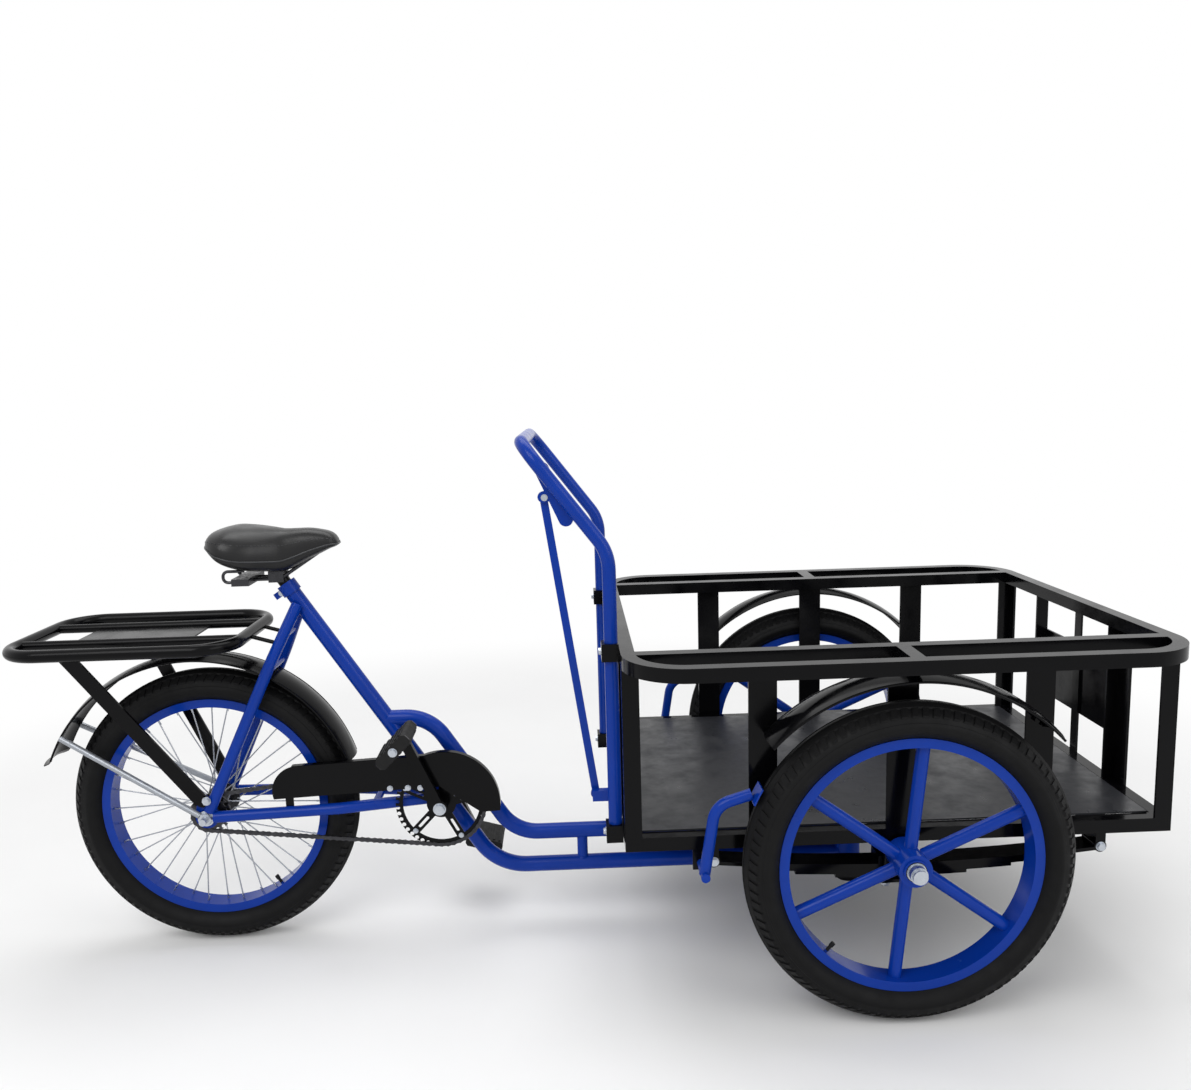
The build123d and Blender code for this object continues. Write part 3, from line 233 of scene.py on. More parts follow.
class Paint:
    """The tricycle's finishes, each made once."""

    def __init__(self) -> None:
        # Stove enamel over steel: deep colour and a faint orange peel. Its reflections are held well
        # below a real enamel's
        self.blue = Finish("blue_stove_enamel", "07369A", "062F89", 0.2, grain_mm=2.5, specular=0.16).make()
        self.black = Finish(
            "black_stove_enamel", "060608", "040405", 0.18, grain_mm=2.5, specular=0.12
        ).make()
        # Satin paint on the floor sheet, scuffed by loads, so its gloss breaks up
        self.floor = Finish(
            "scuffed_floor_paint", "2A2B2F", "1E1F22", 0.4,
            grain_mm=4.0,
            patch_mm=45.0,
            patch_gloss=0.14,
            specular=0.3,
        ).make()
        # Moulded road rubber: nearly matt, with a sheen on the rounded walls
        self.tyre = Finish(
            "moulded_tyre_rubber", "0B0B0C", "070708", 0.58,
            grain_mm=0.9,
            grain_height=0.06,
            patch_mm=30.0,
            specular=0.15,
        ).make()
        self.tread_rubber = Finish(
            "moulded_pedal_rubber", "121213", "0D0D0E", 0.66,
            grain_mm=0.7,
            grain_height=0.06,
            patch_mm=15.0,
            specular=0.25,
        ).make()
        # Bright zinc plate on nuts and axles: cool, with soft streaks from turning
        self.zinc = BrushedFinish(
            "zinc_plated_steel", "C4C8CE", "A9AFB8", 0.3, metallic=1.0, grain_mm=0.8, patch_mm=12.0
        ).make()
        self.spoke = BrushedFinish(
            "drawn_spoke_steel", "B9BCC2", "9A9EA6", 0.26, metallic=1.0, grain_mm=0.8, patch_mm=30.0
        ).make()
        # Silver paint on the fender stays: metallic flakes give a flat grey shine
        self.silver = Finish(
            "silver_paint", "A4A8AE", "94989F", 0.38, metallic=0.7, grain_mm=0.6, grain_height=0.01
        ).make()
        # Oiled steel: dark, greasy gloss that changes from spot to spot
        self.oiled = Finish(
            "oiled_steel", "4C4C4F", "2E2E31", 0.36,
            metallic=0.9,
            grain_mm=0.8,
            patch_mm=8.0,
            patch_gloss=0.14,
        ).make()
        # Embossed vinyl over foam: a pebbled grain, drawn coarser than life so that it shows
        self.vinyl = PebbledFinish(
            "embossed_saddle_vinyl", "0E0E10", "0A0A0B", 0.34,
            grain_mm=1.8,
            grain_height=0.12,
            patch_mm=40.0,
            specular=0.35,
        ).make()
        # Extruded vinyl cord in the saddle's seams: smooth and a shade lighter than the vinyl
        self.piping = Finish("extruded_dark_piping", "2A2B2E", "222326", 0.36, grain_mm=0.8).make()
        self.ground = Finish(
            "pale_studio_floor", "F4F4F4", "EFEFEF", 0.75, grain_mm=3.0, patch_mm=400.0, specular=0.1
        ).make()


PAINT = Paint()

CAD_FINISHES: dict[str, Sequence[str]] = {
    "blue": (
        "seat_tube",
        "lower_tube",
        "upper_tube",
        "pivot_sleeve",
        "bottom_bracket",
        "seat_stays",
        "chain_stays",
        "rear_rim",
        "handlebar",
        "brake_lever",
        "brake_rod",
        "brake_shaft",
        "front_wheel_left",
        "front_wheel_right",
    ),
    "black": (
        "seat_post",
        "rear_rack",
        "rack_stays",
        "rear_fender",
        "chain_guard",
        "crank_right",
        "crank_left",
        "leaf_springs",
        "box_base",
        "corner_posts",
        "side_posts",
        "top_ring",
        "inner_rails",
        "front_wall",
        "rear_wall",
        "front_fenders",
        "axle_beam",
        "kingpin",
    ),
    "floor": ("box_floor",),
    "zinc": ("rear_axle",),
    "spoke": ("rear_spokes",),
    "silver": ("fender_stays",),
    "oiled": ("saddle_frame", "saddle_springs", "rear_hub", "rear_sprocket", "chain"),
    "tyre": ("rear_tyre", "front_tyre_left", "front_tyre_right"),
    "vinyl": ("saddle",),
    "tread_rubber": ("pedal_left", "pedal_right"),
}


def paint_cad() -> None:
    """Gives every carried-over CAD node its finish, and bright metal to the front spindles' ends."""
    for paint, nodes in CAD_FINISHES.items():
        for node in nodes:
            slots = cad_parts[node].data.materials
            slots.clear()
            slots.append(getattr(PAINT, paint))
    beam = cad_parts["axle_beam"].data
    beam.materials.append(PAINT.zinc)
    hub_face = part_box("front_wheel_left")[1].y
    for face in beam.polygons:
        face.material_index = int(abs(face.center.y) > hub_face)
    log.info("painted %d CAD nodes", len(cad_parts))


# ---------------------------------------------------------------- meshes
def mesh_piece(
    name: str, points: Iterable, faces: Iterable, paint: bpy.types.Material, sharp: float = 40
) -> bpy.types.Object:
    """Makes a mesh object with smooth faces and outward normals.

    Args:
        name: The piece's name.
        points: The vertices, in the row frame.
        faces: Vertex numbers of each face.
        paint: The material.
        sharp: Edges that turn by more than this, in degrees, stay crisp.

    Returns:
        The object, linked to the scene at the origin.
    """
    mesh = bpy.data.meshes.new(name)
    mesh.from_pydata([tuple(p) for p in points], [], [tuple(f) for f in faces])
    tidy = bmesh.new()
    tidy.from_mesh(mesh)
    bmesh.ops.remove_doubles(tidy, verts=tidy.verts, dist=1e-6)
    bmesh.ops.recalc_face_normals(tidy, faces=tidy.faces)
    tidy.to_mesh(mesh)
    tidy.free()
    mesh.shade_smooth()
    mesh.set_sharp_from_angle(angle=math.radians(sharp))
    mesh.materials.append(paint)
    made = bpy.data.objects.new(name, mesh)
    bpy.context.scene.collection.objects.link(made)
    return made


def turned(section: Section, centre: Vector, steps: int, closed: bool = True) -> Shape:
    """Turns a section about an axle that runs across the tricycle.

    Args:
        section: Points of (offset along the axle, radius), in order round the section.
        centre: The wheel's centre.
        steps: How many steps make the full turn.
        closed: Whether the section's last point joins its first.

    Returns:
        The vertices and faces.
    """
    points, faces = [], []
    count = len(section)
    spans = count if closed else count - 1
    for step in range(steps):
        angle = 2 * math.pi * step / steps
        for offset, radius in section:
            points.append(centre + Vector((radius * math.cos(angle), offset, radius * math.sin(angle))))
        for i in range(spans):
            after = (i + 1) % count
            here, there = step * count, (step + 1) % steps * count
            faces.append((here + i, here + after, there + after, there + i))
    return points, faces


def tube(path: Sequence[Vector], radius: float, sides: int = 10) -> Shape:
    """Sweeps a round section along an open path, with capped ends.

    Args:
        path: The centre line's points.
        radius: The tube's radius.
        sides: How many sides the section has.

    Returns:
        The vertices and faces.
    """
    points, faces = [], []
    side = None
    for i, here in enumerate(path):
        run = (path[min(i + 1, len(path) - 1)] - path[max(i - 1, 0)]).normalized()
        if side is None:
            side = run.orthogonal().normalized()
        side = (side - run * side.dot(run)).normalized()
        up = run.cross(side)
        for k in range(sides):
            angle = 2 * math.pi * k / sides
            points.append(here + side * (radius * math.cos(angle)) + up * (radius * math.sin(angle)))
        if i:
            for k in range(sides):
                a, b = (i - 1) * sides + k, (i - 1) * sides + (k + 1) % sides
                faces.append((a, b, b + sides, a + sides))
    faces.append(tuple(range(sides))[::-1])
    faces.append(tuple(range(len(points) - sides, len(points))))
    return points, faces


def prism(outline: Section, low: float, high: float) -> Shape:
    """Raises a flat outline into a prism along Z.

    Args:
        outline: Points of (x, y) round the outline.
        low: The lower face's height.
        high: The upper face's height.

    Returns:
        The vertices and faces.
    """
    count = len(outline)
    points = [Vector((x, y, z)) for z in (low, high) for x, y in outline]
    faces = [(i, (i + 1) % count, (i + 1) % count + count, i + count) for i in range(count)]
    faces.append(tuple(range(count))[::-1])
    faces.append(tuple(range(count, 2 * count)))
    return points, faces


def merged(*shapes: Shape) -> Shape:
    """Puts several shapes' vertices and faces in one list."""
    points, faces = [], []
    for more_points, more_faces in shapes:
        start = len(points)
        points.extend(more_points)
        faces.extend(tuple(i + start for i in face) for face in more_faces)
    return points, faces


def ring(count: int, radius: float, start: float = 0.0) -> Section:
    """Points of a regular polygon or circle."""
    turns = [start + 2 * math.pi * i / count for i in range(count)]
    return [(radius * math.cos(a), radius * math.sin(a)) for a in turns]


# ---------------------------------------------------------------- geometry nodes
@dataclass
class Pattern:
    """A geometry nodes tree that repeats a shape, run once and kept as a plain mesh."""

    name: str
    paint: bpy.types.Material
    body: Body
    sockets: dict[str, str] = field(default_factory=dict)

    def tree(self) -> bpy.types.NodeTree:
        """Starts a tree with a geometry input, a geometry output and the pattern's named inputs."""
        group = bpy.data.node_groups.new(self.name, "GeometryNodeTree")
        face = group.interface
        face.new_socket("Geometry", in_out="INPUT", socket_type="NodeSocketGeometry")
        for label, kind in {**self.sockets, "Finish": "NodeSocketMaterial"}.items():
            face.new_socket(label, in_out="INPUT", socket_type=kind)
        face.new_socket("Geometry", in_out="OUTPUT", socket_type="NodeSocketGeometry")
        return group

    def close(self, group: bpy.types.NodeTree, shapes: Socket, given: bpy.types.Node) -> None:
        """Ends a tree in Realize Instances and Set Material."""
        real = add_node(group, "GeometryNodeRealizeInstances", {"Geometry": shapes})
        painted = add_node(
            group,
            "GeometryNodeSetMaterial",
            {"Geometry": real.outputs[0], "Material": given.outputs["Finish"]},
        )
        add_node(group, "NodeGroupOutput", {"Geometry": painted.outputs[0]})

    def run(self, base: bpy.types.Object, group: bpy.types.NodeTree, values: dict) -> bpy.types.Object:
        """Applies the tree to a base object and keeps the result as a plain mesh.

        Args:
            base: The object whose geometry the tree starts from.
            group: The finished tree.
            values: The named inputs' values.

        Returns:
            The finished piece, riding on the pattern's body.
        """
        live = base.modifiers.new("pattern", "NODES")
        live.node_group = group
        keys = {s.name: s.identifier for s in group.interface.items_tree if s.in_out == "INPUT"}
        for label, value in {**values, "Finish": self.paint}.items():
            live[keys[label]] = value
        base.update_tag()
        graph = bpy.context.evaluated_depsgraph_get()
        mesh = bpy.data.meshes.new_from_object(base.evaluated_get(graph))
        base.modifiers.clear()
        bpy.data.objects.remove(base)
        mesh.name = self.name
        mesh.shade_smooth()
        mesh.set_sharp_from_angle(angle=math.radians(35))
        made = bpy.data.objects.new(self.name, mesh)
        bpy.context.scene.collection.objects.link(made)
        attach(made, self.body.value)
        log.info("pattern %s: %d faces", self.name, len(mesh.polygons))
        return made


def discard(*shapes: bpy.types.Object) -> None:
    """Removes the single shapes that a pattern has repeated."""
    for shape in shapes:
        bpy.data.objects.remove(shape)


@dataclass
class WheelPattern(Pattern):
    """Repeats a shape evenly about an axle that runs across the tricycle."""

    sockets: dict[str, str] = field(
        default_factory=lambda: {
            "Shape": "NodeSocketObject",
            "Count": "NodeSocketInt",
            "Phase": "NodeSocketFloat",
            "Centre": "NodeSocketVector",
        }
    )

    def place(self, shape: bpy.types.Object, count: int, phase: float, centre: Vector) -> bpy.types.Object:
        """Places the copies.

        Args:
            shape: The shape at angle 0, with the axle along Y through the origin.
            count: How many copies go round.
            phase: The first copy's angle, in degrees.
            centre: The wheel's centre.

        Returns:
            The finished piece.
        """
        group = self.tree()
        given = add_node(group, "NodeGroupInput")
        line = add_node(
            group, "GeometryNodeMeshLine", {"Count": given.outputs["Count"], "Offset": (0.0, 0.0, 0.0)}
        )
        index = add_node(group, "GeometryNodeInputIndex")
        share = add_node(
            group, "ShaderNodeMath", {0: index.outputs[0], 1: given.outputs["Count"]}, operation="DIVIDE"
        )
        turn = add_node(
            group,
            "ShaderNodeMath",
            {0: share.outputs[0], 1: -2 * math.pi, 2: given.outputs["Phase"]},
            operation="MULTIPLY_ADD",
        )
        spin = add_node(group, "ShaderNodeCombineXYZ", {"Y": turn.outputs[0]})
        source = add_node(group, "GeometryNodeObjectInfo", {"Object": given.outputs["Shape"]})
        copies = add_node(
            group,
            "GeometryNodeInstanceOnPoints",
            {
                "Points": line.outputs[0],
                "Instance": source.outputs["Geometry"],
                "Rotation": spin.outputs[0],
            },
        )
        moved = add_node(
            group,
            "GeometryNodeTransform",
            {"Geometry": copies.outputs[0], "Translation": given.outputs["Centre"]},
        )
        self.close(group, moved.outputs[0], given)
        base = mesh_piece(f"{self.name}_base", [(0, 0, 0)], [], self.paint)
        values = {"Shape": shape, "Count": count, "Phase": -math.radians(phase), "Centre": tuple(centre)}
        return self.run(base, group, values)


@dataclass(frozen=True)
class Spot:
    """Where one copy of a fitting goes, which way it faces and how large it is."""

    at: Vector
    aim: Vector
    size: float = 1.0


@dataclass
class SpotPattern(Pattern):
    """Puts a copy of a shape on each spot, its Z axis along the spot's aim."""

    sockets: dict[str, str] = field(default_factory=lambda: {"Shape": "NodeSocketObject"})

    def place(self, shape: bpy.types.Object, spots: Sequence[Spot]) -> bpy.types.Object:
        """Places the copies.

        Args:
            shape: The fitting at the origin, 1 unit in size and facing +Z.
            spots: The places.

        Returns:
            The finished piece.
        """
        group = self.tree()
        given = add_node(group, "NodeGroupInput")
        aim = add_node(group, "GeometryNodeInputNamedAttribute", {"Name": "aim"}, data_type="FLOAT_VECTOR")
        size = add_node(group, "GeometryNodeInputNamedAttribute", {"Name": "size"}, data_type="FLOAT")
        turn = add_node(group, "FunctionNodeAlignRotationToVector", {"Vector": aim.outputs[0]}, axis="Z")
        source = add_node(group, "GeometryNodeObjectInfo", {"Object": given.outputs["Shape"]})
        copies = add_node(
            group,
            "GeometryNodeInstanceOnPoints",
            {
                "Points": given.outputs["Geometry"],
                "Instance": source.outputs["Geometry"],
                "Rotation": turn.outputs[0],
                "Scale": size.outputs[0],
            },
        )
        self.close(group, copies.outputs[0], given)
        base = mesh_piece(f"{self.name}_base", [s.at for s in spots], [], self.paint)
        aims = base.data.attributes.new("aim", "FLOAT_VECTOR", "POINT")
        aims.data.foreach_set("vector", [part for spot in spots for part in spot.aim])
        sizes = base.data.attributes.new("size", "FLOAT", "POINT")
        sizes.data.foreach_set("value", [spot.size for spot in spots])
        return self.run(base, group, {"Shape": shape})


@dataclass
class LoopPattern(Pattern):
    """Carries two shapes by turns along a closed line that lies in a plane along the tricycle."""

    sockets: dict[str, str] = field(
        default_factory=lambda: {
            "First": "NodeSocketObject",
            "Second": "NodeSocketObject",
            "Count": "NodeSocketInt",
        }
    )

    def place(
        self, path: Sequence[Vector], first: bpy.types.Object, second: bpy.types.Object, count: int
    ) -> bpy.types.Object:
        """Places the copies.

        Args:
            path: The closed line's points.
            first: The shape on even places, its length along X.
            second: The shape on odd places.
            count: How many copies go round.

        Returns:
            The finished piece.
        """
        group = self.tree()
        given = add_node(group, "NodeGroupInput")
        curve = add_node(group, "GeometryNodeMeshToCurve", {"Mesh": given.outputs["Geometry"]})
        even = add_node(
            group, "GeometryNodeResampleCurve", {"Curve": curve.outputs[0], "Count": given.outputs["Count"]}
        )
        tangent = add_node(group, "GeometryNodeInputTangent")
        turn = add_node(
            group,
            "FunctionNodeAlignRotationToVector",
            {"Vector": tangent.outputs[0]},
            axis="X",
            pivot_axis="Y",
        )
        index = add_node(group, "GeometryNodeInputIndex")
        odd = add_node(group, "ShaderNodeMath", {0: index.outputs[0], 1: 2.0}, operation="MODULO")
        even_places = add_node(group, "ShaderNodeMath", {0: 1.0, 1: odd.outputs[0]}, operation="SUBTRACT")
        joined = add_node(group, "GeometryNodeJoinGeometry")
        for label, chosen in (("First", even_places), ("Second", odd)):
            source = add_node(group, "GeometryNodeObjectInfo", {"Object": given.outputs[label]})
            copies = add_node(
                group,
                "GeometryNodeInstanceOnPoints",
                {
                    "Points": even.outputs[0],
                    "Selection": chosen.outputs[0],
                    "Instance": source.outputs["Geometry"],
                    "Rotation": turn.outputs[0],
                },
            )
            group.links.new(copies.outputs[0], joined.inputs[0])
        self.close(group, joined.outputs[0], given)
        mesh = bpy.data.meshes.new(f"{self.name}_base")
        loop = [(i, (i + 1) % len(path)) for i in range(len(path))]
        mesh.from_pydata([tuple(p) for p in path], loop, [])
        base = bpy.data.objects.new(mesh.name, mesh)
        bpy.context.scene.collection.objects.link(base)
        return self.run(base, group, {"First": first, "Second": second, "Count": count})


def moved(shape: Shape, matrix: Matrix) -> Shape:
    """Moves a shape's vertices by a matrix."""
    points, faces = shape
    return [matrix @ p for p in points], faces


def brick(low: Sequence[float], high: Sequence[float]) -> Shape:
    """Makes a plain block between two corners."""
    corners = [(low[0], low[1]), (high[0], low[1]), (high[0], high[1]), (low[0], high[1])]
    return prism(corners, low[2], high[2])


def on_circle(centre: Vector, radius: float, degrees: float) -> Vector:
    """Finds the point at a radius and angle about an axle across the tricycle."""
    angle = math.radians(degrees)
    return centre + Vector((radius * math.cos(angle), 0, radius * math.sin(angle)))


LEFT = Vector((0, 1, 0))
LAY_ACROSS = Matrix.Rotation(-math.pi / 2, 4, "X")


# ---------------------------------------------------------------- wheels
# Half section of a tyre: share of the half width, and depth in mm below the tread's top
TYRE_WALL = [
    (0.46, 68.0),
    (0.47, 60.5),
    (0.62, 57.0),
    (0.80, 52.0),
    (0.93, 45.5),
    (0.985, 40.0),
    (1.0, 36.2),
    (0.965, 32.6),
    (0.925, 28.8),
    (0.905, 28.4),
    (0.85, 23.0),
    (0.78, 18.8),
    (0.60, 13.4),
    (0.44, 9.2),
    (0.42, 6.0),
    (0.22, 0.6),
    (0.20, 3.6),
    (0.11, 3.6),
    (0.09, 0.1),
    (0.0, 0.0),
]

# Shares of a tyre's radius: the rim's bed, the rim's inner face and the end of the valve's cap
RIM_BED, RIM_FACE, VALVE_END = 0.735, 0.70, 0.672


@dataclass
class Wheel:
    """A wheel's tyre with its tread, and the valve in its rim."""

    name: str
    tyre: str
    body: Body
    valve_angle: float
    lugs: int = 96
    lug_half: float = 5.2 * MM
    lug_skew: float = 4.0 * MM
    lug_sunk: float = 4.5 * MM
    valve_radius: float = 3.2 * MM

    def __post_init__(self) -> None:
        low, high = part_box(self.tyre)
        self.centre = (low + high) / 2
        self.radius = (high.z - low.z) / 2
        self.half = (high.y - low.y) / 2

    def carcass(self) -> None:
        """Turns the tyre's carcass with its centre ribs and bulging walls."""
        left = [(share * self.half, self.radius - depth * MM) for share, depth in TYRE_WALL]
        right = [(-offset, radius) for offset, radius in reversed(left[:-1])]
        shape = turned(left + right, self.centre, 144)
        piece = mesh_piece(f"{self.name}_carcass", *shape, PAINT.tyre)
        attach(piece, self.body.value)
        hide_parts(self.tyre)
        log.info("tyre %s", self.name)

    def lug(self, side: int) -> Shape:
        """Makes one skewed block of the tread's shoulder, at angle 0."""
        shift = math.pi * self.radius / self.lugs * (side > 0)
        outline = []
        for share, depth, skew in ((0.46, 6.9, 0.0), (0.83, 17.4, self.lug_skew)):
            offset, radius = side * share * self.half, self.radius - depth * MM
            outline.append([(radius, offset, shift + skew + end * self.lug_half) for end in (-1, 1)])
        inner, outer = outline
        top = [inner[0], inner[1], outer[1], outer[0]]
        bottom = [(x - self.lug_sunk, y, z) for x, y, z in top]
        points = [Vector(p) for p in bottom + top]
        faces = [(0, 1, 2, 3), (7, 6, 5, 4)]
        faces += [(i, i + 4, (i + 1) % 4 + 4, (i + 1) % 4) for i in range(4)]
        return points, faces

    def tread(self) -> None:
        """Repeats the shoulder blocks round the tyre."""
        shape = mesh_piece("tread_block", *merged(self.lug(1), self.lug(-1)), PAINT.tyre)
        pattern = WheelPattern(f"{self.name}_tread", PAINT.tyre, self.body)
        piece = pattern.place(shape, self.lugs, 0, self.centre)
        discard(shape)

    def valve(self) -> None:
        """Stands the valve stem in the rim, with its cap towards the hub."""
        foot, neck, tip = [
            on_circle(self.centre, self.radius * share, self.valve_angle)
            for share in (RIM_BED, RIM_FACE, VALVE_END)
        ]
        shape = merged(tube([foot, neck], self.valve_radius), tube([neck, tip], self.valve_radius * 1.3))
        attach(mesh_piece(f"{self.name}_valve", *shape, PAINT.tread_rubber), self.body.value)

    def build(self) -> None:
        """Builds and dresses the wheel."""
        self.carcass()
        self.tread()
        self.valve()


@dataclass
class RearWheel(Wheel):
    """The wire wheel, with a nipple where each spoke meets the rim."""

    spokes: int = 36
    spoke_offset: float = 6.0 * MM
    nipple_radius: float = 2.1 * MM

    def build(self) -> None:
        """Builds and dresses the wheel and its nipples."""
        super().build()
        step = 360 / self.spokes
        nipples = []
        for angle, side in ((0.0, -1), (step, 1)):
            ends = [on_circle(Vector(), share * self.radius, angle) for share in (RIM_BED, RIM_FACE)]
            line = [end + LEFT * (side * self.spoke_offset) for end in ends]
            nipples.append(tube(line, self.nipple_radius, 8))
        shape = mesh_piece("nipple_pair", *merged(*nipples), PAINT.zinc)
        WheelPattern("rear_nipples", PAINT.zinc, self.body).place(shape, self.spokes // 2, 0, self.centre)
        discard(shape)


@dataclass
class FrontWheel(Wheel):
    """A tube-spoked wheel, with a raised ring and a washer on its hub's outer face."""

    rim: str = ""
    ring_radius: float = 21.5 * MM

    def build(self) -> None:
        """Builds and dresses the wheel and its hub."""
        super().build()
        low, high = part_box(self.rim)
        side = 1 if self.centre.y > 0 else -1
        face = (high.y - low.y) / 2 * side
        out = side * MM
        lip = [
            (face - 2 * out, self.ring_radius),
            (face + 3 * out, self.ring_radius),
            (face + 3 * out, self.ring_radius - 3 * MM),
            (face - 2 * out, self.ring_radius - 3 * MM),
        ]
        piece = mesh_piece(f"{self.name}_hub_ring", *turned(lip, self.centre, 48), PAINT.blue)
        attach(piece, self.body.value)
        washer = [
            (face + 0.05 * out, 13.5 * MM),
            (face + 0.9 * out, 13.5 * MM),
            (face + 0.9 * out, 18 * MM),
            (face + 0.05 * out, 18 * MM),
        ]
        piece = mesh_piece(f"{self.name}_washer", *turned(washer, self.centre, 48), PAINT.oiled)
        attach(piece, Body.CARRIAGE.value)


# ---------------------------------------------------------------- chain
@dataclass
class Chain:
    """The roller chain: outer and inner links by turns round the two chain wheels."""

    ring_teeth: int = 44
    sprocket_teeth: int = 18
    pitch: float = 12.7 * MM
    plate_end: float = 4.3 * MM
    waist: float = 3.1 * MM
    roller: float = 3.9 * MM
    pin: float = 1.9 * MM

    def __post_init__(self) -> None:
        self.rear = middle("rear_sprocket")
        bracket = middle("bottom_bracket")
        self.front = Vector((bracket.x, self.rear.y, bracket.z))

    def route(self) -> list[Vector]:
        """Finds the closed line of the chain's pins.

        Returns:
            The points, from below the chainring round its front, over the top and round the sprocket.
        """
        front_r = self.pitch / 2 / math.sin(math.pi / self.ring_teeth)
        rear_r = self.pitch / 2 / math.sin(math.pi / self.sprocket_teeth)
        run = self.front - self.rear
        lean = math.degrees(math.asin((front_r - rear_r) / run.length))
        rise = math.degrees(math.atan2(run.z, run.x))
        points = []
        for centre, radius, start, sweep, steps in (
            (self.front, front_r, rise - 90 - lean, 180 + 2 * lean, 60),
            (self.rear, rear_r, rise + 90 + lean, 180 - 2 * lean, 30),
        ):
            points += [on_circle(centre, radius, start + sweep * i / steps) for i in range(steps + 1)]
        return points

    def plate(self, offset: float, thickness: float) -> Shape:
        """Makes one side plate with round ends and a waist."""
        outline = []
        for end, start in ((1, -math.pi / 2), (-1, math.pi / 2)):
            for i in range(7):
                angle = start + math.pi * i / 6
                x = end * self.pitch / 2 + self.plate_end * math.cos(angle)
                outline.append((x, self.plate_end * math.sin(angle)))
            outline.append((0.0, end * self.waist))
        flat = prism(outline, offset - thickness / 2, offset + thickness / 2)
        return moved(flat, LAY_ACROSS)

    def link(self, offset: float, thickness: float, barrel: float, barrel_half: float) -> bpy.types.Object:
        """Makes one link: two plates and a barrel through each end."""
        shapes = [self.plate(side * offset, thickness) for side in (-1, 1)]
        for end in (-1, 1):
            stub = prism(ring(8, barrel), -barrel_half, barrel_half)
            shapes.append(moved(stub, Matrix.Translation((end * self.pitch / 2, 0, 0)) @ LAY_ACROSS))
        return mesh_piece("link", *merged(*shapes), PAINT.oiled)

    def build(self) -> None:
        """Builds the chain in place of its CAD loop."""
        path = self.route()
        length = sum((b - a).length for a, b in zip(path, path[1:] + path[:1]))
        count = 2 * round(length / self.pitch / 2)
        outer = self.link(offset=2.3 * MM, thickness=1.0 * MM, barrel=self.pin, barrel_half=3.0 * MM)
        inner = self.link(offset=1.3 * MM, thickness=0.9 * MM, barrel=self.roller, barrel_half=0.8 * MM)
        piece = LoopPattern("chain_links", PAINT.oiled, Body.FRAME).place(path, outer, inner, count)
        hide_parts("chain")
        discard(outer, inner)


# ---------------------------------------------------------------- saddle
# Sections from the rear: distance, drop of the top, depth and width, in mm
SADDLE_SECTIONS = [
    (2, 25, 12, 62),
    (7, 16, 28, 108),
    (17, 8, 44, 148),
    (34, 3, 64, 181),
    (52, 0, 77, 194),
    (74, 1, 84, 188),
    (97, 3, 86, 166),
    (120, 6, 86, 132),
    (147, 10, 83, 98),
    (172, 10, 74, 82),
    (197, 10, 61, 70),
    (218, 13, 48, 62),
    (237, 18, 34, 54),
    (248, 26, 22, 42),
    (253.5, 36, 9, 24),
]


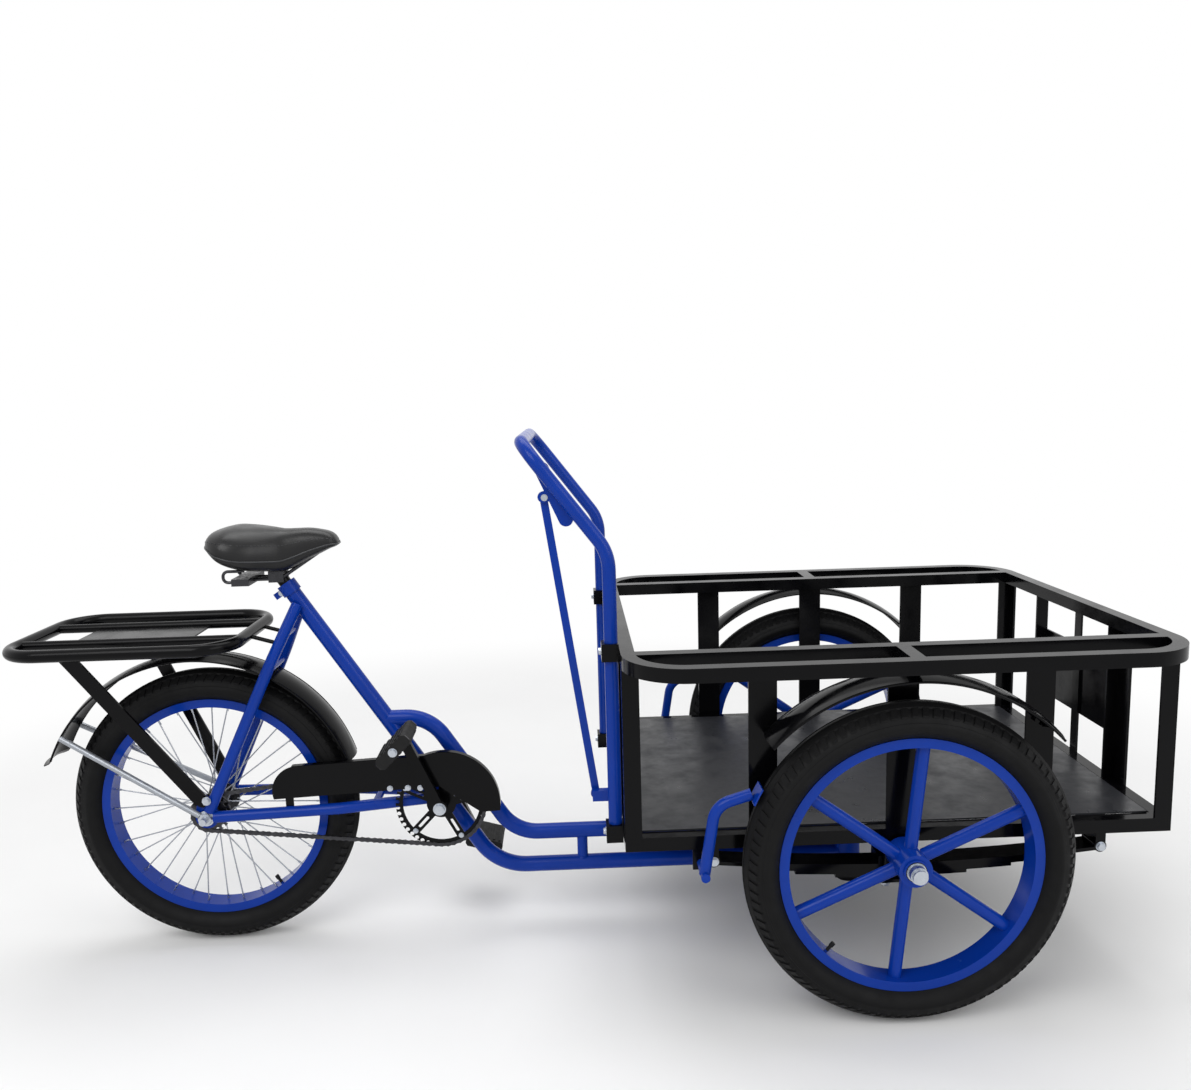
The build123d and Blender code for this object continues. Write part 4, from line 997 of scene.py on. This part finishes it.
@dataclass
class Saddle:
    """The padded vinyl saddle, with piping in the seam round its edge and a row of stitches above it."""

    stations: int = 56
    around: int = 48
    edge_share: float = 0.36
    piping_radius: float = 1.7 * MM
    stitch_gap: float = 6.0 * MM
    stitch_radius: float = 0.7 * MM
    stitch_half: float = 1.9 * MM

    def __post_init__(self) -> None:
        low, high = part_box("saddle")
        self.rear_x = low.x - SADDLE_SECTIONS[0][0] * MM
        self.top = high.z

    def section(self, place: float) -> tuple[float, ...]:
        """Blends the listed sections smoothly.

        Args:
            place: From 0 at the rear to 1 at the nose.

        Returns:
            Distance, drop, depth and width in metres.
        """
        spot = place * (len(SADDLE_SECTIONS) - 1)
        index = min(int(spot), len(SADDLE_SECTIONS) - 2)
        t = spot - index
        rows = [SADDLE_SECTIONS[max(0, min(len(SADDLE_SECTIONS) - 1, index + k))] for k in (-1, 0, 1, 2)]
        values = []
        for a, b, c, d in zip(*rows):
            square = 2 * a - 5 * b + 4 * c - d
            cube = 3 * b - a - 3 * c + d
            blend = 2 * b + (c - a) * t + square * t**2 + cube * t**3
            values.append(blend / 2 * MM)
        return tuple(values)

    def surface(self, place: float, turn: float, proud: float = 0.0) -> Vector:
        """Finds a point of the skin.

        Args:
            place: From 0 at the rear to 1 at the nose.
            turn: Degrees round the section, 0 at the left edge and 90 on top.
            proud: How far the point stands off the skin.

        Returns:
            The point in the row frame.
        """
        distance, drop, depth, width = self.section(place)
        cos, sin = math.cos(math.radians(turn)), math.sin(math.radians(turn))
        edge = self.top - drop - depth * (1 - self.edge_share)
        out = math.copysign(abs(cos) ** 0.75, cos) * (width / 2 + proud)
        if sin >= 0:
            lift = (depth * (1 - self.edge_share) + proud) * sin**0.85
        else:
            lift = -(depth * self.edge_share) * abs(sin) ** 0.6
        return Vector((self.rear_x + distance, out, edge + lift))

    def pad(self) -> None:
        """Makes the crowned, closed pad."""
        points, faces = [], []
        for station in range(self.stations + 1):
            for k in range(self.around):
                points.append(self.surface(station / self.stations, 360 * k / self.around))
        for station in range(self.stations):
            for k in range(self.around):
                a, b = station * self.around + k, station * self.around + (k + 1) % self.around
                faces.append((a, b, b + self.around, a + self.around))
        faces.append(tuple(range(self.around))[::-1])
        faces.append(tuple(range(len(points) - self.around, len(points))))
        piece = mesh_piece("saddle_pad", points, faces, PAINT.vinyl, 60)
        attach(piece, Body.FRAME.value)
        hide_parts("saddle")
        log.info("saddle pad")

    def seam_line(self, turn: float, proud: float) -> list[Vector]:
        """Finds the line that runs along one side, round the nose and back."""
        places = [i / self.stations for i in range(self.stations + 1)]
        left = [self.surface(place, turn, proud) for place in places]
        right = [self.surface(place, 180 - turn, proud) for place in reversed(places)]
        return left + right

    def trim(self) -> None:
        """Lays the piping in the edge seam and sews a row of stitches above it."""
        cord = tube(self.seam_line(turn=-3, proud=0.4 * MM), self.piping_radius)
        piping = mesh_piece("saddle_piping", *cord, PAINT.piping)
        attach(piping, Body.FRAME.value)
        line = self.seam_line(turn=24, proud=0.3 * MM)
        spots, left_over = [], 0.0
        for here, there in zip(line, line[1:]):
            left_over += (there - here).length
            if left_over >= self.stitch_gap and (there - here).length > 0:
                spots.append(Spot(here, (there - here).normalized(), 1.0))
                left_over = 0.0
        thread = prism(ring(6, self.stitch_radius), -self.stitch_half, self.stitch_half)
        stitch = mesh_piece("stitch", *thread, PAINT.piping)
        SpotPattern("saddle_stitches", PAINT.piping, Body.FRAME).place(stitch, spots)
        discard(stitch)

    def build(self) -> None:
        """Builds and dresses the saddle."""
        self.pad()
        self.trim()


# ---------------------------------------------------------------- pedals
@dataclass
class Pedal:
    """A block pedal's rubber ribs and its steel end plates."""

    node: str
    body: Body
    tilt: float
    length: float = 90 * MM
    width: float = 80 * MM
    height: float = 24 * MM
    ribs: int = 6
    rib_inset: float = 9 * MM
    rib_half: float = 2.5 * MM
    rib_sunk: float = 1 * MM
    rib_proud: float = 1.8 * MM
    end_gap: float = 6 * MM
    plate_inset: float = 3 * MM
    plate_gap: float = 0.4 * MM
    plate_proud: float = 0.8 * MM

    def build(self) -> None:
        """Builds and dresses the pedal."""
        low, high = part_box(self.node)
        side = 1 if low.y > 0 else -1
        outer = high.y if side > 0 else low.y
        centre = (low + high) / 2
        centre.y = outer - side * self.length / 2
        place = Matrix.Translation(centre) @ Matrix.Rotation(-math.radians(self.tilt), 4, "Y")
        ribs = []
        reach = self.width / 2 - self.rib_inset
        for i in range(self.ribs):
            x = -reach + 2 * reach * i / (self.ribs - 1)
            for face in (-1, 1):
                foot, top = self.height / 2 - self.rib_sunk, self.height / 2 + self.rib_proud
                z0, z1 = sorted((face * foot, face * top))
                half = self.length / 2 - self.end_gap
                ribs.append(brick((x - self.rib_half, -half, z0), (x + self.rib_half, half, z1)))
        shape = moved(merged(*ribs), place)
        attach(mesh_piece(f"{self.node}_ribs", *shape, PAINT.tread_rubber), self.body.value)
        plates = []
        for end in (-1, 1):
            inner, outside = self.length / 2 - self.plate_inset, self.length / 2 - self.plate_gap
            y0, y1 = sorted((end * inner, end * outside))
            x, z = self.width / 2 + self.plate_proud, self.height / 2 - self.end_gap
            plates.append(brick((-x, y0, -z), (x, y1, z)))
        shape = moved(merged(*plates), place)
        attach(mesh_piece(f"{self.node}_plates", *shape, PAINT.oiled), self.body.value)
        log.info("pedal %s", self.node)


# ---------------------------------------------------------------- fenders
@dataclass
class Fender:
    """A fender's rolled edges."""

    name: str
    centre: Vector
    radius: float
    half: float
    start: float
    finish: float
    body: Body
    crown: float = 8.5 * MM
    bead: float = 2.2 * MM

    def build(self) -> None:
        """Rolls a bead along both edges."""
        shapes = []
        steps = 64
        for side in (-1, 1):
            edge = self.centre + LEFT * (side * self.half)
            span = self.finish - self.start
            turns = [self.start + span * i / steps for i in range(steps + 1)]
            path = [on_circle(edge, self.radius - self.crown, turn) for turn in turns]
            shapes.append(tube(path, self.bead, 8))
        piece = mesh_piece(f"{self.name}_beads", *merged(*shapes), PAINT.black)
        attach(piece, self.body.value)
        log.info("fender %s", self.name)


@dataclass
class RearFender(Fender):
    """The rear fender, whose tip flares away from the tyre."""

    flare: float = 14 * MM
    sheet: float = 2 * MM

    def build(self) -> None:
        """Rolls the beads and adds the flared tip."""
        super().build()
        angle = math.radians(self.finish)
        away = Vector((math.cos(angle), 0, math.sin(angle)))
        down = Vector((-math.sin(angle), 0, math.cos(angle)))
        points, faces = [], []
        across = 10
        for reach, lift in ((0.0, 0.0), (0.5, 0.18), (1.0, 0.7)):
            for k in range(across + 1):
                share = 2 * k / across - 1
                radius = self.radius - (self.crown - 0.5 * MM) * share**2 + self.flare * lift
                y = share * self.half
                for inset in (0.0, self.sheet):
                    flat = self.centre + away * (radius - inset) + down * (self.flare * reach)
                    points.append(flat + LEFT * y)
        row = 2 * (across + 1)
        for step in range(2):
            for k in range(across):
                a = step * row + 2 * k
                faces += [(a, a + 2, a + 2 + row, a + row), (a + 1, a + row + 1, a + row + 3, a + 3)]
            for edge in (0, 2 * across):
                a = step * row + edge
                faces.append((a, a + 1, a + row + 1, a + row))
        for step in (0, 2 * row):
            for a in range(step, step + 2 * across, 2):
                faces.append((a, a + 1, a + 3, a + 2))
        piece = mesh_piece("rear_fender_flare", points, faces, PAINT.black)
        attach(piece, self.body.value)


# ---------------------------------------------------------------- fittings
@dataclass
class Fittings:
    """Bolt heads, nuts, spring clips and weld beads. A bolt's size is the width across its flats."""

    eye_inset: float = 11 * MM
    eye_drop: float = 30 * MM
    wall_bolt_aside: float = 252 * MM
    wall_bolt_height: float = 311 * MM
    front_nut_gap: float = 1 * MM
    rod_foot_bolt: tuple[float, float] = (7 * MM, 10 * MM)
    rod_top_bolt: tuple[float, float] = (9 * MM, 8 * MM)
    rear_nut_aside: float = 74 * MM
    eyelet_bolt: tuple[float, float, float] = (6 * MM, 81.7 * MM, 39 * MM)
    guard_bolts: tuple[tuple[float, float], ...] = ((-363, 332), (-327, 332), (-302, 331))
    lug_bolt: tuple[float, float, float] = (-566, 6.2, 731)
    ring_arms: int = 5
    ring_bolt_start: float = 10
    ring_bolt_radius: float = 79.5 * MM
    ring_bolt_aside: float = 51.1 * MM
    pedal_nut_inset: float = 0.5 * MM
    tube_radius: float = 16 * MM
    strut_radius: float = 11 * MM
    strut_back: float = 564 * MM
    strut_weld_gap: float = 15 * MM
    weld_lap: float = 2 * MM
    leaf_half: float = 22.5 * MM
    clip_half: tuple[float, float] = (38 * MM, 34 * MM)
    clip_drop: float = 6 * MM
    clip_gap: float = 0.2 * MM
    stud_ahead: float = 24 * MM
    stud_aside: float = 28 * MM
    stud_drop: float = 12 * MM
    stud_radius: float = 4 * MM

    def __post_init__(self) -> None:
        self.rear = middle("rear_axle")
        self.front = middle("kingpin")
        self.front.z = self.rear.z
        self.bracket = middle("bottom_bracket")

    def pairs(self, at: Vector, size: float) -> list[Spot]:
        """Mirrors a spot that faces left to the right side."""
        other = Vector((at.x, -at.y, at.z))
        return [Spot(at, LEFT, size), Spot(other, -LEFT, size)]

    def hexagon(self) -> bpy.types.Object:
        """Makes a bolt head on its washer, 1 across its flats."""
        head = prism(ring(6, 0.577), 0.1, 0.42)
        crown = prism(ring(6, 0.5), 0.42, 0.46)
        washer = prism(ring(20, 0.68), 0.0, 0.1)
        return mesh_piece("hexagon", *merged(head, crown, washer), PAINT.zinc, 25)

    def bolt_spots(self) -> dict[Body, list[Spot]]:
        """Lists where the bolts and nuts sit on each body."""
        springs_low, springs_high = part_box("leaf_springs")
        ring_low, ring_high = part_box("top_ring")
        lever_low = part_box("brake_lever")[0]
        rod_low, rod_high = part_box("brake_rod")
        guard_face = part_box("chain_guard")[0].y
        arm_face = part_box("crank_left")[1].y
        carriage, on_frame, crank = [], [], []
        for eye_x in (springs_low.x + self.eye_inset, springs_high.x - self.eye_inset):
            eye = Vector((eye_x, springs_high.y, springs_high.z - self.eye_drop))
            carriage += self.pairs(eye, size=13 * MM)
        for z in ((ring_low.z + ring_high.z) / 2, self.wall_bolt_height):
            for y in (-self.wall_bolt_aside, self.wall_bolt_aside):
                carriage.append(Spot(Vector((ring_low.x, y, z)), Vector((-1, 0, 0)), size=11 * MM))
        hub_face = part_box("front_wheel_left")[1].y + self.front_nut_gap
        carriage += self.pairs(Vector((self.front.x, hub_face, self.front.z)), size=25 * MM)
        back, rise = self.rod_foot_bolt
        rod_foot = Vector((rod_high.x - back, rod_low.y, rod_low.z + rise))
        carriage.append(Spot(rod_foot, -LEFT, size=12 * MM))
        ahead, drop = self.rod_top_bolt
        rod_top = Vector((rod_low.x + ahead, lever_low.y, rod_high.z - drop))
        carriage.append(Spot(rod_top, -LEFT, size=9 * MM))
        on_frame += self.pairs(Vector((self.rear.x, self.rear_nut_aside, self.rear.z)), size=24 * MM)
        ahead, aside, rise = self.eyelet_bolt
        on_frame += self.pairs(Vector((self.rear.x + ahead, aside, self.rear.z + rise)), size=13 * MM)
        for x, z in self.guard_bolts:
            on_frame.append(Spot(Vector((x * MM, guard_face, z * MM)), -LEFT, size=9 * MM))
        on_frame += self.pairs(Vector([step * MM for step in self.lug_bolt]), size=10 * MM)
        crank += self.pairs(Vector((self.bracket.x, arm_face, self.bracket.z)), size=19 * MM)
        for arm in range(self.ring_arms):
            turn = self.ring_bolt_start + 360 / self.ring_arms * arm
            at = on_circle(self.bracket, self.ring_bolt_radius, turn)
            crank.append(Spot(Vector((at.x, -self.ring_bolt_aside, at.z)), -LEFT, size=8 * MM))
        spots = {Body.CARRIAGE: carriage, Body.FRAME: on_frame, Body.CRANK: crank}
        for body, node, side in ((Body.PEDAL_LEFT, "pedal_left", 1), (Body.PEDAL_RIGHT, "pedal_right", -1)):
            centre = middle(node)
            low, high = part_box(node)
            centre.y = (high.y if side > 0 else low.y) - side * self.pedal_nut_inset
            spots[body] = [Spot(centre, LEFT * side, size=13 * MM)]
        return spots

    def bolts(self) -> None:
        """Places the bolts and nuts, one piece for each body."""
        shape = self.hexagon()
        for body, spots in self.bolt_spots().items():
            piece = SpotPattern(f"{body.value}_bolts", PAINT.zinc, body).place(shape, spots)
        discard(shape)

    def welds(self) -> None:
        """Runs a weld bead round the frame's tube joints."""
        bead = [(x, 1 + y) for x, y in ring(10, 0.13)]
        upright = moved(turned(bead, Vector(), 40), Matrix.Rotation(math.pi / 2, 4, "X"))
        shape = mesh_piece("bead", *upright, PAINT.blue)
        sleeve_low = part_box("pivot_sleeve")[0]
        tube_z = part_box("lower_tube")[0].z + self.tube_radius
        upper_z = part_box("upper_tube")[0].z + self.tube_radius
        sleeve_x = sleeve_low.x + self.weld_lap
        strut_x = self.front.x - self.strut_back
        ahead, upward = Vector((1, 0, 0)), Vector((0, 0, 1))
        spots = [
            Spot(Vector((sleeve_x, 0, tube_z)), ahead, self.tube_radius),
            Spot(Vector((sleeve_x, 0, upper_z)), ahead, self.tube_radius),
            Spot(Vector((strut_x, 0, tube_z + self.strut_weld_gap)), upward, self.strut_radius),
            Spot(Vector((strut_x, 0, upper_z - self.strut_weld_gap)), upward, self.strut_radius),
        ]
        SpotPattern("frame_welds", PAINT.blue, Body.FRAME).place(shape, spots)
        discard(shape)

    def spring_clips(self) -> None:
        """Clips each leaf pack to the beam with a plate below and four studs."""
        low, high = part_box("leaf_springs")
        half_length, half_width = self.clip_half
        beam_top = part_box("axle_beam")[1].z
        shapes, nuts = [], []
        for side in (-1, 1):
            y = side * (high.y - self.leaf_half)
            plate_low = (self.front.x - half_length, y - half_width, low.z - self.clip_drop)
            shapes.append(brick(plate_low, (self.front.x + half_length, y + half_width, low.z - self.clip_gap)))
            for ahead in (-self.stud_ahead, self.stud_ahead):
                for aside in (-self.stud_aside, self.stud_aside):
                    foot = Vector((self.front.x + ahead, y + aside, low.z - self.stud_drop))
                    shapes.append(tube([foot, Vector((foot.x, foot.y, beam_top))], self.stud_radius, 10))
                    nut = Vector((foot.x, foot.y, low.z - self.clip_drop))
                    nuts.append(Spot(nut, Vector((0, 0, -1)), size=13 * MM))
        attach(mesh_piece("spring_clips", *merged(*shapes), PAINT.black), Body.CARRIAGE.value)
        shape = self.hexagon()
        SpotPattern("spring_nuts", PAINT.zinc, Body.CARRIAGE).place(shape, nuts)
        discard(shape)

    def build(self) -> None:
        """Builds every fitting."""
        self.bolts()
        self.welds()
        self.spring_clips()


# ---------------------------------------------------------------- studio
@dataclass(frozen=True)
class Softbox:
    """A large soft light that faces a point of the tricycle."""

    name: str
    at: tuple[float, float, float]
    size: tuple[float, float]
    power: float
    aim: tuple[float, float, float] = (0, 0, 0.4)

    def build(self) -> None:
        """Hangs the light."""
        data = bpy.data.lights.new(self.name, "AREA")
        data.shape = "RECTANGLE"
        data.size, data.size_y = self.size
        data.energy = self.power
        lamp = bpy.data.objects.new(self.name, data)
        lamp.location = self.at
        lamp.rotation_euler = (Vector(self.aim) - lamp.location).to_track_quat("-Z", "Y").to_euler()
        bpy.context.scene.collection.objects.link(lamp)


@dataclass(frozen=True)
class Studio:
    """The pale floor, the white backdrop, the lights and the camera."""

    eye: tuple[float, float, float] = (0.018, -1.9883, 1.1016)
    turn_right: float = 1.443
    tip_down: float = 8.417
    roll: float = -1.636
    lens: float = 30.04
    sensor: float = 36.0
    floor_half: float = 9.0
    fade: tuple[float, float] = (1.5, 2.6)
    glow: float = 0.6
    lights: tuple[Softbox, ...] = (
        Softbox("key_light", (-1.6, -2.6, 3.2), (2.6, 2.0), 62),
        Softbox("fill_light", (2.6, -2.2, 2.0), (2.0, 2.0), 24),
        Softbox("top_light", (0.2, 0.6, 3.4), (3.4, 1.6), 48),
    )

    def floor(self) -> None:
        """Lays the floor under the tyres and fades it to the backdrop's white away from them."""
        size = self.floor_half
        corners = [(-size, -size, 0), (size, -size, 0), (size, size, 0), (-size, size, 0)]
        mesh_piece("studio_floor", corners, [(0, 1, 2, 3)], PAINT.ground)
        tree = PAINT.ground.node_tree
        place = add_node(tree, "ShaderNodeTexCoord").outputs["Object"]
        away = add_node(tree, "ShaderNodeVectorMath", {0: place}, operation="LENGTH").outputs["Value"]
        near, far = self.fade
        share = add_node(
            tree,
            "ShaderNodeMapRange",
            {"Value": away, "From Min": near, "From Max": far},
            interpolation_type="SMOOTHSTEP",
        ).outputs["Result"]
        seen = add_node(tree, "ShaderNodeLightPath").outputs["Is Camera Ray"]
        fade = add_node(tree, "ShaderNodeMath", {0: share, 1: seen}, operation="MULTIPLY").outputs[0]
        white = add_node(tree, "ShaderNodeEmission", {"Color": linear("FFFFFF"), "Strength": 1.0})
        shader = tree.nodes["Principled BSDF"].outputs[0]
        mixed = add_node(tree, "ShaderNodeMixShader", {0: fade, 1: shader, 2: white.outputs[0]})
        tree.links.new(mixed.outputs[0], tree.nodes["Material Output"].inputs["Surface"])

    def backdrop(self) -> None:
        """Makes the world white to the camera and a softer white to everything else."""
        world = bpy.data.worlds.new("studio_world")
        bpy.context.scene.world = world
        world.use_nodes = True
        tree = world.node_tree
        tree.nodes.clear()
        path = add_node(tree, "ShaderNodeLightPath")
        glow = add_node(tree, "ShaderNodeBackground", {"Color": linear("FFFFFF"), "Strength": self.glow})
        white = add_node(tree, "ShaderNodeBackground", {"Color": linear("FFFFFF"), "Strength": 1.0})
        shown: Socket = path.outputs["Is Camera Ray"]
        for ray in ("Is Glossy Ray", "Is Transmission Ray"):
            pair = {0: shown, 1: path.outputs[ray]}
            shown = add_node(tree, "ShaderNodeMath", pair, operation="MAXIMUM").outputs[0]
        mixed = add_node(tree, "ShaderNodeMixShader", {0: shown, 1: glow.outputs[0], 2: white.outputs[0]})
        add_node(tree, "ShaderNodeOutputWorld", {"Surface": mixed.outputs[0]})

    def camera(self) -> None:
        """Stands the camera at the eye point, looking along its heading."""
        yaw, pitch, roll = [math.radians(v) for v in (self.turn_right, self.tip_down, self.roll)]
        look = Vector((math.sin(yaw) * math.cos(pitch), math.cos(yaw) * math.cos(pitch), -math.sin(pitch)))
        level = Vector((math.cos(yaw), -math.sin(yaw), 0))
        upright = level.cross(look)
        right = level * math.cos(roll) + upright * math.sin(roll)
        up = upright * math.cos(roll) - level * math.sin(roll)
        data = bpy.data.cameras.new("camera")
        data.sensor_width, data.lens = self.sensor, self.lens
        data.clip_start = 0.05
        made = bpy.data.objects.new("camera", data)
        columns = Matrix((right, up, -look)).transposed().to_4x4()
        made.matrix_world = Matrix.Translation(self.eye) @ columns
        bpy.context.scene.collection.objects.link(made)
        bpy.context.scene.camera = made

    def build(self) -> None:
        """Builds the studio."""
        self.floor()
        self.backdrop()
        for light in self.lights:
            light.build()
        self.camera()
        bpy.context.scene.view_settings.view_transform = "Standard"


# ---------------------------------------------------------------- the whole
class Tricycle:
    """The cargo tricycle's dressed sub-assemblies."""

    def __init__(self) -> None:
        rear_axle = middle("rear_tyre")
        rear_fender_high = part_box("rear_fender")[1]
        front_fender_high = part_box("front_fenders")[1]
        axle_z = rear_axle.z
        self.parts = [
            RearWheel("rear_wheel", "rear_tyre", Body.REAR_WHEEL, valve_angle=-57),
            FrontWheel(
                "front_left",
                "front_tyre_left",
                Body.FRONT_WHEEL_LEFT,
                valve_angle=228,
                rim="front_wheel_left",
            ),
            FrontWheel(
                "front_right",
                "front_tyre_right",
                Body.FRONT_WHEEL_RIGHT,
                valve_angle=228,
                rim="front_wheel_right",
            ),
            Chain(),
            Saddle(),
            Pedal("pedal_left", Body.PEDAL_LEFT, tilt=-16),
            Pedal("pedal_right", Body.PEDAL_RIGHT, tilt=45),
            RearFender(
                "rear_fender",
                centre=rear_axle - Vector((21 * MM, 0, 0)),
                radius=rear_fender_high.z - axle_z,
                half=rear_fender_high.y,
                start=17,
                finish=158,
                body=Body.FRAME,
            ),
            Fittings(),
        ]
        for side in ("left", "right"):
            centre = middle(f"front_tyre_{side}")
            half = front_fender_high.y - abs(centre.y)
            radius = front_fender_high.z - axle_z
            band = {"centre": centre, "radius": radius, "half": half, "start": 42, "finish": 137}
            self.parts.append(Fender(f"front_fender_{side}", body=Body.CARRIAGE, **band))

    def build(self) -> None:
        """Paints the CAD nodes and builds every dressed part."""
        paint_cad()
        for part in self.parts:
            part.build()


def main() -> None:
    """Builds the tricycle and its studio."""
    Tricycle().build()
    Studio().build()


if __name__ == "__main__":
    main()
